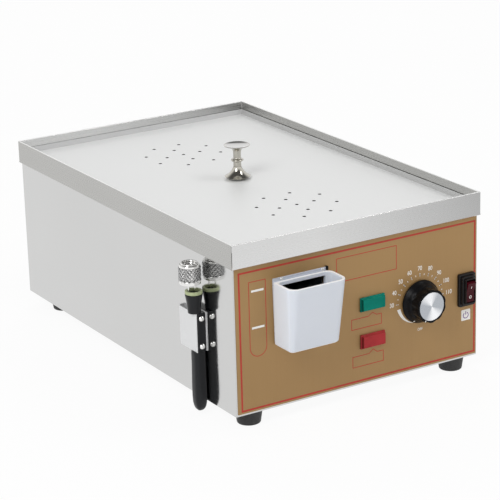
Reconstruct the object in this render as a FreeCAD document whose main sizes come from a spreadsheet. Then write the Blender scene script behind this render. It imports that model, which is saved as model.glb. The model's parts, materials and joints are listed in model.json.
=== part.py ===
"""Table-top bun steamer: a sheet-steel cabinet with a water tank, a heating tube and a lift-off steam plate.

The frame has X to the right along the front, Y to the back, Z up and its origin on the worktop,
under the middle of the cabinet. All sizes are millimetres and live in the sheet named Sizes.
"""
import FreeCAD, Part
import math
import os
import re

import Sketcher

Vector = FreeCAD.Vector

SIZES = {
    # Cabinet
    "rim_width": 300,
    "rim_depth": 470,
    "rim_height": 25,
    "rim_hem": 2.4,
    "rim_edge_radius": 0.7,
    "side_overhang": 2,
    "end_overhang": 4,
    "body_height": 179.5,
    "sheet_gauge": 1,
    "top_flange": 9,
    "bottom_flange": 38,
    "rear_flange": 14,
    "panel_screw_diameter": 4,
    "panel_screw_inset": 8,
    "panel_screw_margin": 24,
    "screw_clearance": 0.1,
    # Feet
    "foot_height": 14.5,
    "foot_top_diameter": 28,
    "foot_bottom_diameter": 24,
    "foot_side_inset": 23,
    "foot_front_inset": 14,
    "foot_rear_inset": 40,
    "foot_recess_diameter": 10,
    "foot_recess_depth": 6,
    "foot_screw_diameter": 4,
    "nut_height": 3.2,
    # Steam plate and its knob
    "lid_drop": 15,
    "lid_gap": 1,
    "lid_lip": 6,
    "vent_diameter": 3.8,
    "vent_spacing": 236,
    "vent_inner_ring": 21.3,
    "vent_outer_ring": 42.4,
    "knob_height": 38,
    "knob_base_diameter": 28,
    "knob_base_rise": 3,
    "knob_flare_height": 12,
    "knob_stem_diameter": 7.4,
    "knob_ring_diameter": 13.8,
    "knob_ring_height": 18,
    "knob_ring_thickness": 4.6,
    "knob_top_diameter": 28.6,
    "knob_top_rim": 2.2,
    "knob_bowl_depth": 9,
    "knob_screw_diameter": 4,
    "knob_screw_reach": 12,
    "washer_diameter": 14,
    # Tank
    "bay_depth": 62,
    "tank_side_gap": 11,
    "tank_back_gap": 10,
    "tank_depth": 117,
    "tank_flange": 10,
    "flange_gap": 0.2,
    # Heating tube
    "heater_diameter": 8,
    "heater_leg_spacing": 46,
    "heater_height": 13,
    "heater_back_gap": 36,
    "heater_front_gap": 34,
    "heater_stub": 16,
    "bush_diameter": 14,
    "bush_flange_diameter": 20,
    "bush_flange": 3,
    "bush_reach": 8,
    "terminal_diameter": 4,
    "terminal_length": 9,
    # Front panel
    "fascia_gauge": 0.8,
    "fascia_left_margin": 2.5,
    "fascia_right_margin": 1,
    "fascia_bottom_margin": 2,
    "fascia_tuck": 3,
    # Thermostat and dial
    "dial_gap_share": 0.1957,
    "dial_drop": 79.3,
    "dial_gap": 0.6,
    "dial_depth": 20.5,
    "dial_flange_diameter": 46,
    "dial_flange_edge": 2,
    "dial_grip_diameter": 36,
    "dial_nose_diameter": 35,
    "dial_flare_depth": 9,
    "dial_recess_diameter": 29,
    "dial_recess_depth": 7,
    "dial_hub_diameter": 12,
    "dial_bore_depth": 15,
    "dial_flute_count": 10,
    "dial_flute_diameter": 9,
    "dial_flute_bite": 1,
    "dial_flute_length": 9,
    "cap_diameter": 30.5,
    "cap_gauge": 1.2,
    "cap_clearance": 0.15,
    "shaft_diameter": 6,
    "shaft_fit": 0.05,
    "boss_diameter": 9,
    "boss_clearance": 0.3,
    "thermostat_width": 36,
    "thermostat_depth": 28,
    "bracket_width": 46,
    "bracket_height": 18,
    "bracket_gauge": 2,
    "bracket_screw_spacing": 22,
    "bracket_screw_diameter": 3,
    "thermostat_bore_depth": 16,
    "bulb_offset": 15,
    "bulb_rise": 12,
    "bulb_diameter": 6,
    "bulb_length": 90,
    "gland_sleeve_diameter": 10,
    "gland_flange_diameter": 16,
    "gland_flange": 4,
    "capillary_diameter": 2,
    # Indicator lamps
    "lamp_gap_share": 0.2756,
    "lamp_green_drop": 68,
    "lamp_red_drop": 108,
    "lamp_width": 30,
    "lamp_height": 15,
    "lens_edge": 1.6,
    "lens_depth": 5,
    "lens_taper": 14,
    "lamp_body_inset": 1.6,
    "lamp_body_depth": 30,
    # Power switch
    "switch_edge_gap": 4.05,
    "switch_drop": 78.4,
    "boot_width": 21.3,
    "boot_height": 36,
    "boot_step_inset": 2,
    "boot_first_step": 3.2,
    "boot_second_step": 3.2,
    "boot_third_step": 3,
    "rocker_width": 10,
    "rocker_height": 22,
    "rocker_gap": 0.6,
    "rocker_end_gap": 0.9,
    "rocker_crown": 6.4,
    "rocker_dip": 2,
    "rocker_back": 4,
    "rocker_pivot": 4,
    "rocker_pin_diameter": 3,
    "rocker_pin_reach": 0.9,
    "rocker_tilt": 10,
    "switch_body_depth": 24,
    "switch_body_wall": 2,
    # Water box
    "box_gap_share": 0.3558,
    "box_drop": 18.4,
    "box_height": 65.5,
    "box_top_width": 68,
    "box_bottom_width": 62.4,
    "box_bottom_shift": 2.6,
    "box_top_reach": 34,
    "box_bottom_reach": 30.5,
    "box_wall": 2,
    "box_corner": 10,
    "box_bottom_corner": 5,
    "box_bevel": 2.5,
    "back_plate_gauge": 1.5,
    "back_plate_rise": 3.3,
    "back_plate_inset": 1,
    "back_plate_end_inset": 5.9,
    "inlet_width": 51.5,
    "inlet_height": 32,
    "inlet_drop": 4,
    "box_screw_spacing": 48,
    "box_screw_diameter": 3,
    "latch_width": 2.2,
    "latch_height": 4.3,
    "latch_reach": 3,
    # Mains entry
    "cable_gland_inset": 48,
    "cable_gland_level": 26,
    "cable_gland_bore": 8.4,
    "cable_gland_thread": 16,
    "cable_gland_body": 22,
    "cable_gland_length": 17,
    "cable_gland_reach": 7,
    "cable_gland_nut": 4,
    "terminal_block_x": 30,
    "terminal_block_width": 60,
    "terminal_block_depth": 22,
    "terminal_block_height": 17,
    "terminal_block_setback": 26,
    # Side clip and the lifter that hangs in it
    "clip_front": 51.5,
    "clip_length": 38,
    "clip_drop": 100,
    "clip_height": 41,
    "clip_gap": 10,
    "lifter_fit": 0.3,
    "neck_depth": 20,
    "neck_edge_radius": 1.5,
    "rivet_diameter": 8,
    "rivet_height": 2.2,
    "rivet_spacing": 29.5,
    "grip_floor_gap": 4.5,
    "grip_offset": 7.1,
    "grip_width": 13.5,
    "grip_depth": 13.5,
    "grip_edge_radius": 4.2,
    "axis_setback": 6.5,
    "collar_offset": 10,
    "collar_bottom_diameter": 13,
    "collar_top_diameter": 17.8,
    "collar_height": 20,
    "lifter_ring_height": 3.4,
    "lifter_ring_wall": 2.6,
    "prong_diameter": 1.8,
    "prong_spacing": 6.4,
    "prong_length": 11.5,
    "head_offset": 13.7,
    "head_diameter": 23,
    "head_height": 20,
    "head_edge_radius": 2.5,
    "head_flute_count": 14,
    "head_flute_diameter": 3.4,
    "bail_diameter": 16,
    "bail_wire": 1.8,
}

# Places that several pieces share, as formulas on the sheet
SIDE_X = "(rim_width / 2 - side_overhang)"
END_Y = "(rim_depth / 2 - end_overhang)"
BODY_DEPTH = f"(2 * {END_Y})"
INNER_X = f"({SIDE_X} - sheet_gauge)"
RIM_TOP = "(foot_height + body_height)"
PANEL_TOP = f"({RIM_TOP} - rim_height)"
TANK_TOP = f"({RIM_TOP} - lid_drop - sheet_gauge)"
WALL_TOP = f"({TANK_TOP} - sheet_gauge)"
FASCIA_Y = f"(-{END_Y} - fascia_gauge)"
PLATE_BACK_Y = f"(-{END_Y} + sheet_gauge)"
BASE_TOP = "(foot_height + 2 * sheet_gauge)"

FOOT_X = f"({SIDE_X} - foot_side_inset)"
FOOT_ROWS = (f"(foot_front_inset - {END_Y})", f"({END_Y} - foot_rear_inset)")
FOOT_HOLE = "(foot_screw_diameter / 2 + screw_clearance)"
PANEL_SCREW_X = f"({SIDE_X} - panel_screw_inset)"
PANEL_SCREW_Z = f"(({WALL_TOP} - foot_height) / 2 - panel_screw_margin)"
PANEL_MIDDLE_Z = f"(({WALL_TOP} + foot_height) / 2)"
GLAND_X = f"(cable_gland_inset - {SIDE_X})"

FLANGE_X = "(rim_width / 2 - sheet_gauge - flange_gap)"
FLANGE_Y = "(rim_depth / 2 - sheet_gauge - flange_gap)"
TANK_X = f"({SIDE_X} - tank_side_gap)"
TANK_FRONT = f"(bay_depth - {END_Y})"
TANK_BACK = f"({END_Y} - tank_back_gap)"
TANK_FLOOR = f"({TANK_TOP} - tank_depth)"
HEATER_Z = f"({TANK_FLOOR} + sheet_gauge + heater_height)"
HEATER_X = "(1.5 * heater_leg_spacing)"

# The controls are spread along the panel: the free width between them is shared out
FITTINGS_WIDTH = "(box_top_width + lamp_width + dial_flange_diameter + boot_width + switch_edge_gap)"
FREE_WIDTH = f"(2 * {SIDE_X} - {FITTINGS_WIDTH})"
BOX_X = f"(box_gap_share * {FREE_WIDTH} + box_top_width / 2 - {SIDE_X})"
LAMP_X = f"({BOX_X} + box_top_width / 2 + lamp_gap_share * {FREE_WIDTH} + lamp_width / 2)"
SWITCH_X = f"({SIDE_X} - switch_edge_gap - boot_width / 2)"
DIAL_X = f"({SWITCH_X} - boot_width / 2 - dial_gap_share * {FREE_WIDTH} - dial_flange_diameter / 2)"
DIAL_Z = f"({PANEL_TOP} - dial_drop)"
SWITCH_Z = f"({PANEL_TOP} - switch_drop)"
LAMP_Z = {colour: f"({PANEL_TOP} - lamp_{colour}_drop)" for colour in ("green", "red")}
BULB_X = f"({DIAL_X} + bulb_offset)"
BULB_Z = f"({DIAL_Z} + bulb_rise)"
BOX_TOP = f"({PANEL_TOP} - box_drop - back_plate_rise)"
BOX_BOTTOM = f"({BOX_TOP} - box_height)"
INLET_TOP = f"({BOX_TOP} - inlet_drop)"
INLET_BOTTOM = f"({INLET_TOP} - inlet_height)"

LAMP_BODY_WIDTH = "(lamp_width - 2 * lamp_body_inset)"
LAMP_BODY_HEIGHT = "(lamp_height - 2 * lamp_body_inset)"
ROCKER_SPACE_WIDTH = "(rocker_width + 2 * rocker_gap)"
ROCKER_SPACE_HEIGHT = "(rocker_height + 2 * (rocker_gap + rocker_end_gap))"
SWITCH_BODY_WIDTH = f"({ROCKER_SPACE_WIDTH} + 2 * switch_body_wall)"
SWITCH_BODY_HEIGHT = f"({ROCKER_SPACE_HEIGHT} + 2 * switch_body_wall)"
BOOT_DEPTH = "(boot_first_step + boot_second_step + boot_third_step)"

CLIP_FRONT_Y = f"(clip_front - {END_Y})"
CLIP_BOTTOM = f"({PANEL_TOP} - clip_drop)"
CLIP_TOP = f"({CLIP_BOTTOM} + clip_height)"
NECK_X = f"(-{SIDE_X} - sheet_gauge - clip_gap / 2)"
NECK_Y = f"({CLIP_FRONT_Y} + neck_depth / 2)"
GRIP_Y = f"({CLIP_FRONT_Y} + grip_depth / 2)"
AXIS_Y = f"({CLIP_FRONT_Y} + axis_setback)"
COLLAR_TOP = f"({CLIP_TOP} + collar_height)"
HEAD_BOTTOM = f"({COLLAR_TOP} + prong_length)"

doc = FreeCAD.newDocument("bun_steamer")
sheet = doc.addObject("Spreadsheet::Sheet", "Sizes")
for row, (alias, size) in enumerate(SIZES.items(), start=1):
    sheet.set(f"A{row}", alias)
    sheet.set(f"B{row}", str(size))
    sheet.setAlias(f"B{row}", alias)
doc.recompute()

sub_parts = []


def on_sheet(formula):
    """Return the formula with each size's name pointing at its cell."""
    return re.sub(r"[a-z_]+[a-z]", lambda word: f"Sizes.{word[0]}" if word[0] in SIZES else word[0], formula)


def number(formula):
    """Return what the formula comes to with the present sizes."""
    return float(sheet.evalExpression(on_sheet(formula)))


def tie(item, **formulas):
    """Bind properties to formulas. Two underscores in a property's name stand for a dot."""
    for name, formula in formulas.items():
        item.setExpression(name.replace("__", "."), on_sheet(formula))


def new_body(label, x="0", y="0", z="0"):
    """Start a sub-part whose own origin stands at x, y, z."""
    body = doc.addObject("PartDesign::Body", label)
    body.Label = label
    tie(body, Placement__Base__x=x, Placement__Base__y=y, Placement__Base__z=z)
    sub_parts.append(body)
    return body


def origin_plane(body, role):
    """Return one of the body's own base planes."""
    return next(item for item in body.Origin.OriginFeatures if item.Role == role)


def new_sketch(body, role, right="0", up="0", lift="0"):
    """Start a sketch on a base plane, moved along its own axes and off it by lift."""
    sketch = body.newObject("Sketcher::SketchObject", f"{body.Label}_sketch")
    sketch.AttachmentSupport = [(origin_plane(body, role), "")]
    sketch.MapMode = "FlatFace"
    tie(sketch, AttachmentOffset__Base__x=right, AttachmentOffset__Base__y=up, AttachmentOffset__Base__z=lift)
    return sketch


def dimension(sketch, kind, formula, *places):
    """Add one driving dimension to a sketch and bind it."""
    index = sketch.addConstraint(Sketcher.Constraint(kind, *places, number(formula)))
    name = f"size_{index}"
    sketch.renameConstraint(index, name)
    sketch.setExpression(f"Constraints.{name}", on_sheet(formula))


def arc_between(start, end, radius, side):
    """Return the arc from start to end whose centre lies left (1) or right (-1) of the way."""
    chord = end - start
    middle = start + chord * 0.5
    height = math.sqrt(max(radius**2 - (chord.Length / 2) ** 2, 0))
    centre = middle + Vector(-chord.y, chord.x, 0).normalize() * (height * side)
    angles = [math.atan2(point.y - centre.y, point.x - centre.x) for point in (start, end)]
    if side < 0:
        angles.reverse()
    if angles[1] < angles[0]:
        angles[1] += 2 * math.pi
    return Part.ArcOfCircle(Part.Circle(centre, Vector(0, 0, 1), radius), *angles)


def draw(sketch, corners, closed=True):
    """Draw an outline. A corner is (x, y), or (x, y, radius, side) where an arc leads to the next one."""
    points = [Vector(number(corner[0]), number(corner[1]), 0) for corner in corners]
    count = len(corners)
    ends = []
    for i in range(count if closed else count - 1):
        start, end = points[i], points[(i + 1) % count]
        if len(corners[i]) == 2:
            edge = sketch.addGeometry(Part.LineSegment(start, end), False)
            ends.append((edge, 1, 2))
        else:
            radius, side = corners[i][2:]
            edge = sketch.addGeometry(arc_between(start, end, number(radius), side), False)
            ends.append((edge, 1, 2) if side > 0 else (edge, 2, 1))
    for i in range(len(ends) if closed else len(ends) - 1):
        edge, _, last = ends[i]
        following, first, _ = ends[(i + 1) % len(ends)]
        sketch.addConstraint(Sketcher.Constraint("Coincident", edge, last, following, first))
    places = [(edge, first) for edge, first, _ in ends]
    if not closed:
        places.append((ends[-1][0], ends[-1][2]))
    for corner, place in zip(corners, places):
        dimension(sketch, "DistanceX", corner[0], -1, 1, *place)
        dimension(sketch, "DistanceY", corner[1], -1, 1, *place)
    for corner, (edge, _, _) in zip(corners, ends):
        if len(corner) > 2:
            dimension(sketch, "Radius", corner[2], edge)


def dome_radius(half_width, rise):
    """Return the radius of a dome, square to its axis, from its half width and its rise."""
    return f"(({half_width}^2 + {rise}^2) / (2 * {rise}))"


def draw_box(sketch, left, right, low, high):
    """Draw a rectangle between four formulas."""
    draw(sketch, [(left, low), (right, low), (right, high), (left, high)])


def draw_centred_box(sketch, width, height, x="0", y="0"):
    """Draw a rectangle about a centre."""
    draw_box(sketch, f"{x} - {width} / 2", f"{x} + {width} / 2", f"{y} - {height} / 2", f"{y} + {height} / 2")


def draw_round_box(sketch, left, right, low, high, radius):
    """Draw a rectangle with rounded corners."""
    draw(sketch, [
        (f"{left} + {radius}", low), (f"{right} - {radius}", low, radius, 1),
        (right, f"{low} + {radius}"), (right, f"{high} - {radius}", radius, 1),
        (f"{right} - {radius}", high), (f"{left} + {radius}", high, radius, 1),
        (left, f"{high} - {radius}"), (left, f"{low} + {radius}", radius, 1),
    ])


def draw_circle(sketch, radius, x="0", y="0"):
    """Draw a circle about a centre."""
    centre = Vector(number(x), number(y), 0)
    edge = sketch.addGeometry(Part.Circle(centre, Vector(0, 0, 1), number(radius)), False)
    dimension(sketch, "DistanceX", x, -1, 1, edge, 3)
    dimension(sketch, "DistanceY", y, -1, 1, edge, 3)
    dimension(sketch, "Radius", radius, edge)


def draw_hexagon(sketch, across_flats, x="0", y="0"):
    """Draw a hexagon about a centre, with two flats upright."""
    corner = f"({across_flats} / sqrt(3))"
    turns = [f"{60 * i} deg" for i in range(6)]
    draw(sketch, [(f"{x} + {corner} * sin({turn})", f"{y} - {corner} * cos({turn})") for turn in turns])


def extrude(kind, sketch, length, reverse=False, both_ways=False, taper=None):
    """Pad or pocket a sketch."""
    body = sketch.getParentGeoFeatureGroup()
    feature = body.newObject(f"PartDesign::{kind}", f"{body.Label}_{kind.lower()}")
    feature.Profile = sketch
    feature.Reversed = reverse
    if both_ways:
        feature.SideType = "Symmetric"
    tie(feature, Length=length)
    if taper:
        tie(feature, TaperAngle=taper)
    return feature


def pad(sketch, length, **options):
    """Add the sketch's area along its normal."""
    return extrude("Pad", sketch, length, **options)


def pocket(sketch, length, **options):
    """Cut the sketch's area against its normal, and make sure that something went."""
    body = sketch.getParentGeoFeatureGroup()
    doc.recompute()
    before = body.Tip.Shape.Volume
    feature = extrude("Pocket", sketch, length, **options)
    doc.recompute()
    if feature.Shape.Volume > before - 1e-6:
        raise RuntimeError(f"A pocket of {body.Label} cuts nothing")
    return feature


def revolve(sketch):
    """Turn the sketch about its own upright axis."""
    body = sketch.getParentGeoFeatureGroup()
    feature = body.newObject("PartDesign::Revolution", f"{body.Label}_revolution")
    feature.Profile = sketch
    feature.ReferenceAxis = (sketch, ["V_Axis"])
    feature.Angle = 360
    return feature


def loft(kind, first, *others):
    """Add or cut a loft through sketches."""
    body = first.getParentGeoFeatureGroup()
    feature = body.newObject(f"PartDesign::{kind}", f"{body.Label}_loft")
    feature.Profile = first
    feature.Sections = list(others)
    feature.Ruled = True
    return feature


def round_edges(body, radius, chosen):
    """Round the edges of the body that the test picks."""
    doc.recompute()
    base = body.Tip
    names = [f"Edge{i}" for i, edge in enumerate(base.Shape.Edges, start=1) if chosen(edge)]
    if not names:
        raise RuntimeError(f"No edge of {body.Label} to round")
    feature = body.newObject("PartDesign::Fillet", f"{body.Label}_fillet")
    feature.Base = (base, names)
    tie(feature, Radius=radius)
    doc.recompute()
    return feature


def repeat_round(feature, axis_sketch, count):
    """Repeat a feature in a full circle about a sketch's normal."""
    body = axis_sketch.getParentGeoFeatureGroup()
    pattern = body.newObject("PartDesign::PolarPattern", f"{body.Label}_pattern")
    pattern.Originals = [feature]
    pattern.Axis = (axis_sketch, ["N_Axis"])
    pattern.Angle = 360
    tie(pattern, Occurrences=count)
    body.Tip = pattern
    doc.recompute()


def mirror_all(body, *roles):
    """Mirror the whole body in its base planes, one after another."""
    for role in roles:
        doc.recompute()
        mirror = body.newObject("PartDesign::Mirrored", f"{body.Label}_mirror")
        mirror.TransformMode = "Whole shape"
        mirror.MirrorPlane = (origin_plane(body, role), [""])
        body.Tip = mirror


def lies_at(edge, height):
    """Tell whether an edge lies level at a height of its body."""
    box = edge.BoundBox
    return abs(box.ZMin - height) < 1e-4 and abs(box.ZMax - height) < 1e-4


# Cabinet

def side_panel(label, side):
    """Web with folded top, bottom and rear flanges; side is -1 on the left and 1 on the right."""
    body = new_body(label)
    inner = f"{side} * {INNER_X}"
    web = new_sketch(body, "XZ_Plane")
    draw_box(web, inner, f"{side} * {SIDE_X}", "foot_height", WALL_TOP)
    pad(web, BODY_DEPTH, both_ways=True)
    flanges = new_sketch(body, "XZ_Plane")
    draw_box(flanges, f"{side} * ({SIDE_X} - top_flange)", inner, f"{WALL_TOP} - sheet_gauge", WALL_TOP)
    edge = f"{side} * ({SIDE_X} - bottom_flange)"
    draw_box(flanges, edge, inner, "foot_height", "foot_height + sheet_gauge")
    pad(flanges, f"{BODY_DEPTH} - 2 * sheet_gauge", both_ways=True)
    rear = new_sketch(body, "XY_Plane", lift=BASE_TOP)
    draw_box(rear, f"{side} * ({SIDE_X} - rear_flange)", inner, f"{END_Y} - 2 * sheet_gauge",
             f"{END_Y} - sheet_gauge")
    pad(rear, f"{WALL_TOP} - sheet_gauge - {BASE_TOP}")
    foot_holes = new_sketch(body, "XY_Plane", lift="foot_height")
    screw_holes = new_sketch(body, "XZ_Plane", up=PANEL_MIDDLE_Z, lift=f"2 * sheet_gauge - {END_Y}")
    for end, row in zip((-1, 1), FOOT_ROWS):
        draw_circle(foot_holes, FOOT_HOLE, f"{side} * {FOOT_X}", row)
        draw_circle(screw_holes, "panel_screw_diameter / 2 + screw_clearance", f"{side} * {PANEL_SCREW_X}",
                    f"{end} * {PANEL_SCREW_Z}")
    pocket(foot_holes, "2 * sheet_gauge", reverse=True)
    pocket(screw_holes, "2 * sheet_gauge")


def draw_panel_openings(sketch):
    """Draw what the front plate and the fascia both leave open."""
    draw_circle(sketch, "boss_diameter / 2 + boss_clearance", DIAL_X, DIAL_Z)
    for side in (-1, 1):
        draw_circle(sketch, "bracket_screw_diameter / 2 + screw_clearance",
                    f"{DIAL_X} + {side} * bracket_screw_spacing / 2", DIAL_Z)
    for level in LAMP_Z.values():
        draw_centred_box(sketch, LAMP_BODY_WIDTH, LAMP_BODY_HEIGHT, LAMP_X, level)
    draw_centred_box(sketch, SWITCH_BODY_WIDTH, SWITCH_BODY_HEIGHT, SWITCH_X, SWITCH_Z)
    draw_inlet_window(sketch, BOX_X, INLET_BOTTOM, INLET_TOP)


def draw_inlet_window(sketch, x, low, high):
    """Draw the window that lets water from the box into the tank."""
    draw_box(sketch, f"{x} - inlet_width / 2", f"{x} + inlet_width / 2", low, high)


def front_plate():
    """Steel front wall with the openings for the controls."""
    body = new_body("front_plate", y=PLATE_BACK_Y)
    sketch = new_sketch(body, "XZ_Plane")
    draw_box(sketch, f"-{INNER_X}", INNER_X, "foot_height", WALL_TOP)
    draw_panel_openings(sketch)
    pad(sketch, "sheet_gauge")


def fascia():
    """Coloured overlay in front of the front plate."""
    body = new_body("fascia", y=f"-{END_Y}")
    sketch = new_sketch(body, "XZ_Plane")
    draw_box(sketch, f"fascia_left_margin - {SIDE_X}", f"{SIDE_X} - fascia_right_margin",
             "foot_height + fascia_bottom_margin", f"{PANEL_TOP} + fascia_tuck")
    draw_panel_openings(sketch)
    pad(sketch, "fascia_gauge")


def back_panel():
    """Rear wall with the hole for the cable gland."""
    body = new_body("back_panel", y=END_Y)
    sketch = new_sketch(body, "XZ_Plane")
    draw_box(sketch, f"-{INNER_X}", INNER_X, "foot_height", WALL_TOP)
    hole = "cable_gland_thread / 2 + screw_clearance"
    draw_circle(sketch, hole, GLAND_X, "foot_height + cable_gland_level")
    for side in (-1, 1):
        for end in (-1, 1):
            draw_circle(sketch, "panel_screw_diameter / 2 + screw_clearance", f"{side} * {PANEL_SCREW_X}",
                        f"{PANEL_MIDDLE_Z} + {end} * {PANEL_SCREW_Z}")
    pad(sketch, "sheet_gauge")


def base_plate():
    """Floor of the cabinet, on the side panels' bottom flanges."""
    body = new_body("base_plate", z="foot_height + sheet_gauge")
    sketch = new_sketch(body, "XY_Plane")
    draw_centred_box(sketch, f"(2 * {INNER_X})", f"({BODY_DEPTH} - 2 * sheet_gauge)")
    for side in (-1, 1):
        for row in FOOT_ROWS:
            draw_circle(sketch, FOOT_HOLE, f"{side} * {FOOT_X}", row)
    pad(sketch, "sheet_gauge")


def top_rim():
    """Hemmed frame on the tank's flange, with a thin skirt that reaches down past the walls' top."""
    body = new_body("top_rim", z=RIM_TOP)
    outside = new_sketch(body, "XY_Plane")
    draw_centred_box(outside, "rim_width", "rim_depth")
    pad(outside, "rim_height", reverse=True)
    mouth = new_sketch(body, "XY_Plane")
    draw_centred_box(mouth, "(rim_width - 2 * rim_hem)", "(rim_depth - 2 * rim_hem)")
    pocket(mouth, "rim_height")
    underside = new_sketch(body, "XY_Plane", lift="-rim_height")
    draw_centred_box(underside, "(rim_width - 2 * sheet_gauge)", "(rim_depth - 2 * sheet_gauge)")
    pocket(underside, "rim_height - lid_drop - sheet_gauge", reverse=True)
    round_edges(body, "rim_edge_radius", lambda edge: lies_at(edge, 0))


def feet():
    """Four tapered rubber feet, each with a recess for its screw."""
    body = new_body("feet")
    for row in FOOT_ROWS:
        sketch = new_sketch(body, "XZ_Plane", right=FOOT_X, lift=f"-{row}")
        draw(sketch, [
            ("foot_recess_diameter / 2", "0"),
            ("foot_bottom_diameter / 2", "0"),
            ("foot_top_diameter / 2", "foot_height"),
            (FOOT_HOLE, "foot_height"),
            (FOOT_HOLE, "foot_recess_depth"),
            ("foot_recess_diameter / 2", "foot_recess_depth"),
        ])
        revolve(sketch)
    mirror_all(body, "YZ_Plane")


def foot_screws():
    """Pan-head screws that hold the feet, with their heads up inside the recesses."""
    body = new_body("foot_screws")
    head = "(foot_screw_diameter - screw_clearance)"
    for row in FOOT_ROWS:
        sketch = new_sketch(body, "XZ_Plane", right=FOOT_X, lift=f"-{row}")
        draw(sketch, [
            ("0", "foot_recess_depth / 2"),
            (head, "foot_recess_depth / 2"),
            (head, "foot_recess_depth"),
            ("foot_screw_diameter / 2", "foot_recess_depth"),
            ("foot_screw_diameter / 2", f"{BASE_TOP} + nut_height + sheet_gauge"),
            ("0", f"{BASE_TOP} + nut_height + sheet_gauge"),
        ])
        revolve(sketch)
    mirror_all(body, "YZ_Plane")


def foot_nuts():
    """Nuts on the foot screws, on top of the base plate."""
    body = new_body("foot_nuts", z=BASE_TOP)
    sketch = new_sketch(body, "XY_Plane")
    for row in FOOT_ROWS:
        draw_hexagon(sketch, "(1.75 * foot_screw_diameter)", FOOT_X, row)
        draw_circle(sketch, "foot_screw_diameter / 2 + shaft_fit", FOOT_X, row)
    pad(sketch, "nut_height")
    mirror_all(body, "YZ_Plane")


def panel_screws():
    """Four screws that hold the back panel to the side panels' rear flanges."""
    body = new_body("panel_screws", y=END_Y, z=PANEL_MIDDLE_Z)
    sketch = new_sketch(body, "XY_Plane", right=PANEL_SCREW_X, lift=PANEL_SCREW_Z)
    draw(sketch, [
        ("0", "-3 * sheet_gauge"),
        ("panel_screw_diameter / 2", "-3 * sheet_gauge"),
        ("panel_screw_diameter / 2", "0"),
        ("panel_screw_diameter", "0", dome_radius("panel_screw_diameter", "(panel_screw_diameter / 2)"), 1),
        ("0", "panel_screw_diameter / 2"),
    ])
    revolve(sketch)
    mirror_all(body, "YZ_Plane", "XY_Plane")


# Steam plate

def lid_pan():
    """Lift-off plate with an upturned lip and two groups of steam vents."""
    body = new_body("lid_pan", z=TANK_TOP)
    width = "(rim_width - 2 * rim_hem - 2 * lid_gap)"
    depth = "(rim_depth - 2 * rim_hem - 2 * lid_gap)"
    outside = new_sketch(body, "XY_Plane")
    draw_centred_box(outside, width, depth)
    pad(outside, "sheet_gauge + lid_lip")
    inside = new_sketch(body, "XY_Plane", lift="sheet_gauge + lid_lip")
    draw_centred_box(inside, f"({width} - 2 * sheet_gauge)", f"({depth} - 2 * sheet_gauge)")
    pocket(inside, "lid_lip")
    holes = new_sketch(body, "XY_Plane")
    draw_circle(holes, "knob_screw_diameter / 2 + screw_clearance")
    for end in (-1, 1):
        centre = f"{end} * vent_spacing / 2"
        draw_circle(holes, "vent_diameter / 2", "0", centre)
        for ring, count, turn in (("vent_inner_ring", 4, 0), ("vent_outer_ring", 8, 22.5)):
            for i in range(count):
                angle = turn + 360 / count * i
                draw_circle(holes, "vent_diameter / 2", f"{ring} * cos({angle} deg)",
                            f"{centre} + {ring} * sin({angle} deg)")
    pocket(holes, "2 * sheet_gauge", reverse=True)


def lid_knob():
    """Turned knob: flared base, waisted stem with a ring, and a dished top."""
    body = new_body("lid_knob", z=f"{TANK_TOP} + sheet_gauge")
    sketch = new_sketch(body, "XZ_Plane")
    hole = "(knob_screw_diameter / 2 + shaft_fit)"
    base = "(knob_base_diameter / 2)"
    stem = "(knob_stem_diameter / 2)"
    top = "(knob_top_diameter / 2)"
    ring_low = "(knob_ring_height - knob_ring_thickness / 2)"
    ring_high = "(knob_ring_height + knob_ring_thickness / 2)"
    rim_low = "(knob_height - knob_top_rim)"
    draw(sketch, [
        (hole, "0"),
        (f"{base} - knob_base_rise", "0"),
        (base, "knob_base_rise", "1.3 * knob_flare_height", -1),
        (stem, "knob_flare_height"),
        (stem, ring_low),
        ("knob_ring_diameter / 2", "knob_ring_height"),
        (stem, ring_high),
        (stem, "knob_height - knob_bowl_depth"),
        (f"0.6 * {top}", f"{rim_low} - knob_top_rim"),
        (top, rim_low, dome_radius(top, "knob_top_rim"), 1),
        ("0", "knob_height"),
        ("0", "knob_screw_reach"),
        (hole, "knob_screw_reach"),
    ])
    revolve(sketch)


def lid_screw():
    """Screw up into the lid knob, from under the plate and its washer."""
    body = new_body("lid_screw", z=TANK_TOP)
    sketch = new_sketch(body, "XZ_Plane")
    draw(sketch, [
        ("0", "-sheet_gauge - 0.6 * knob_screw_diameter"),
        ("knob_screw_diameter", "-sheet_gauge - 0.6 * knob_screw_diameter"),
        ("knob_screw_diameter", "-sheet_gauge"),
        ("knob_screw_diameter / 2", "-sheet_gauge"),
        ("knob_screw_diameter / 2", "0.8 * knob_screw_reach"),
        ("0", "0.8 * knob_screw_reach"),
    ])
    revolve(sketch)


def lid_washer():
    """Washer between the lid screw's head and the plate."""
    body = new_body("lid_washer", z=TANK_TOP)
    sketch = new_sketch(body, "XY_Plane")
    draw_circle(sketch, "washer_diameter / 2")
    draw_circle(sketch, "knob_screw_diameter / 2 + screw_clearance")
    pad(sketch, "sheet_gauge", reverse=True)


# Tank and heating tube

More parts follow.
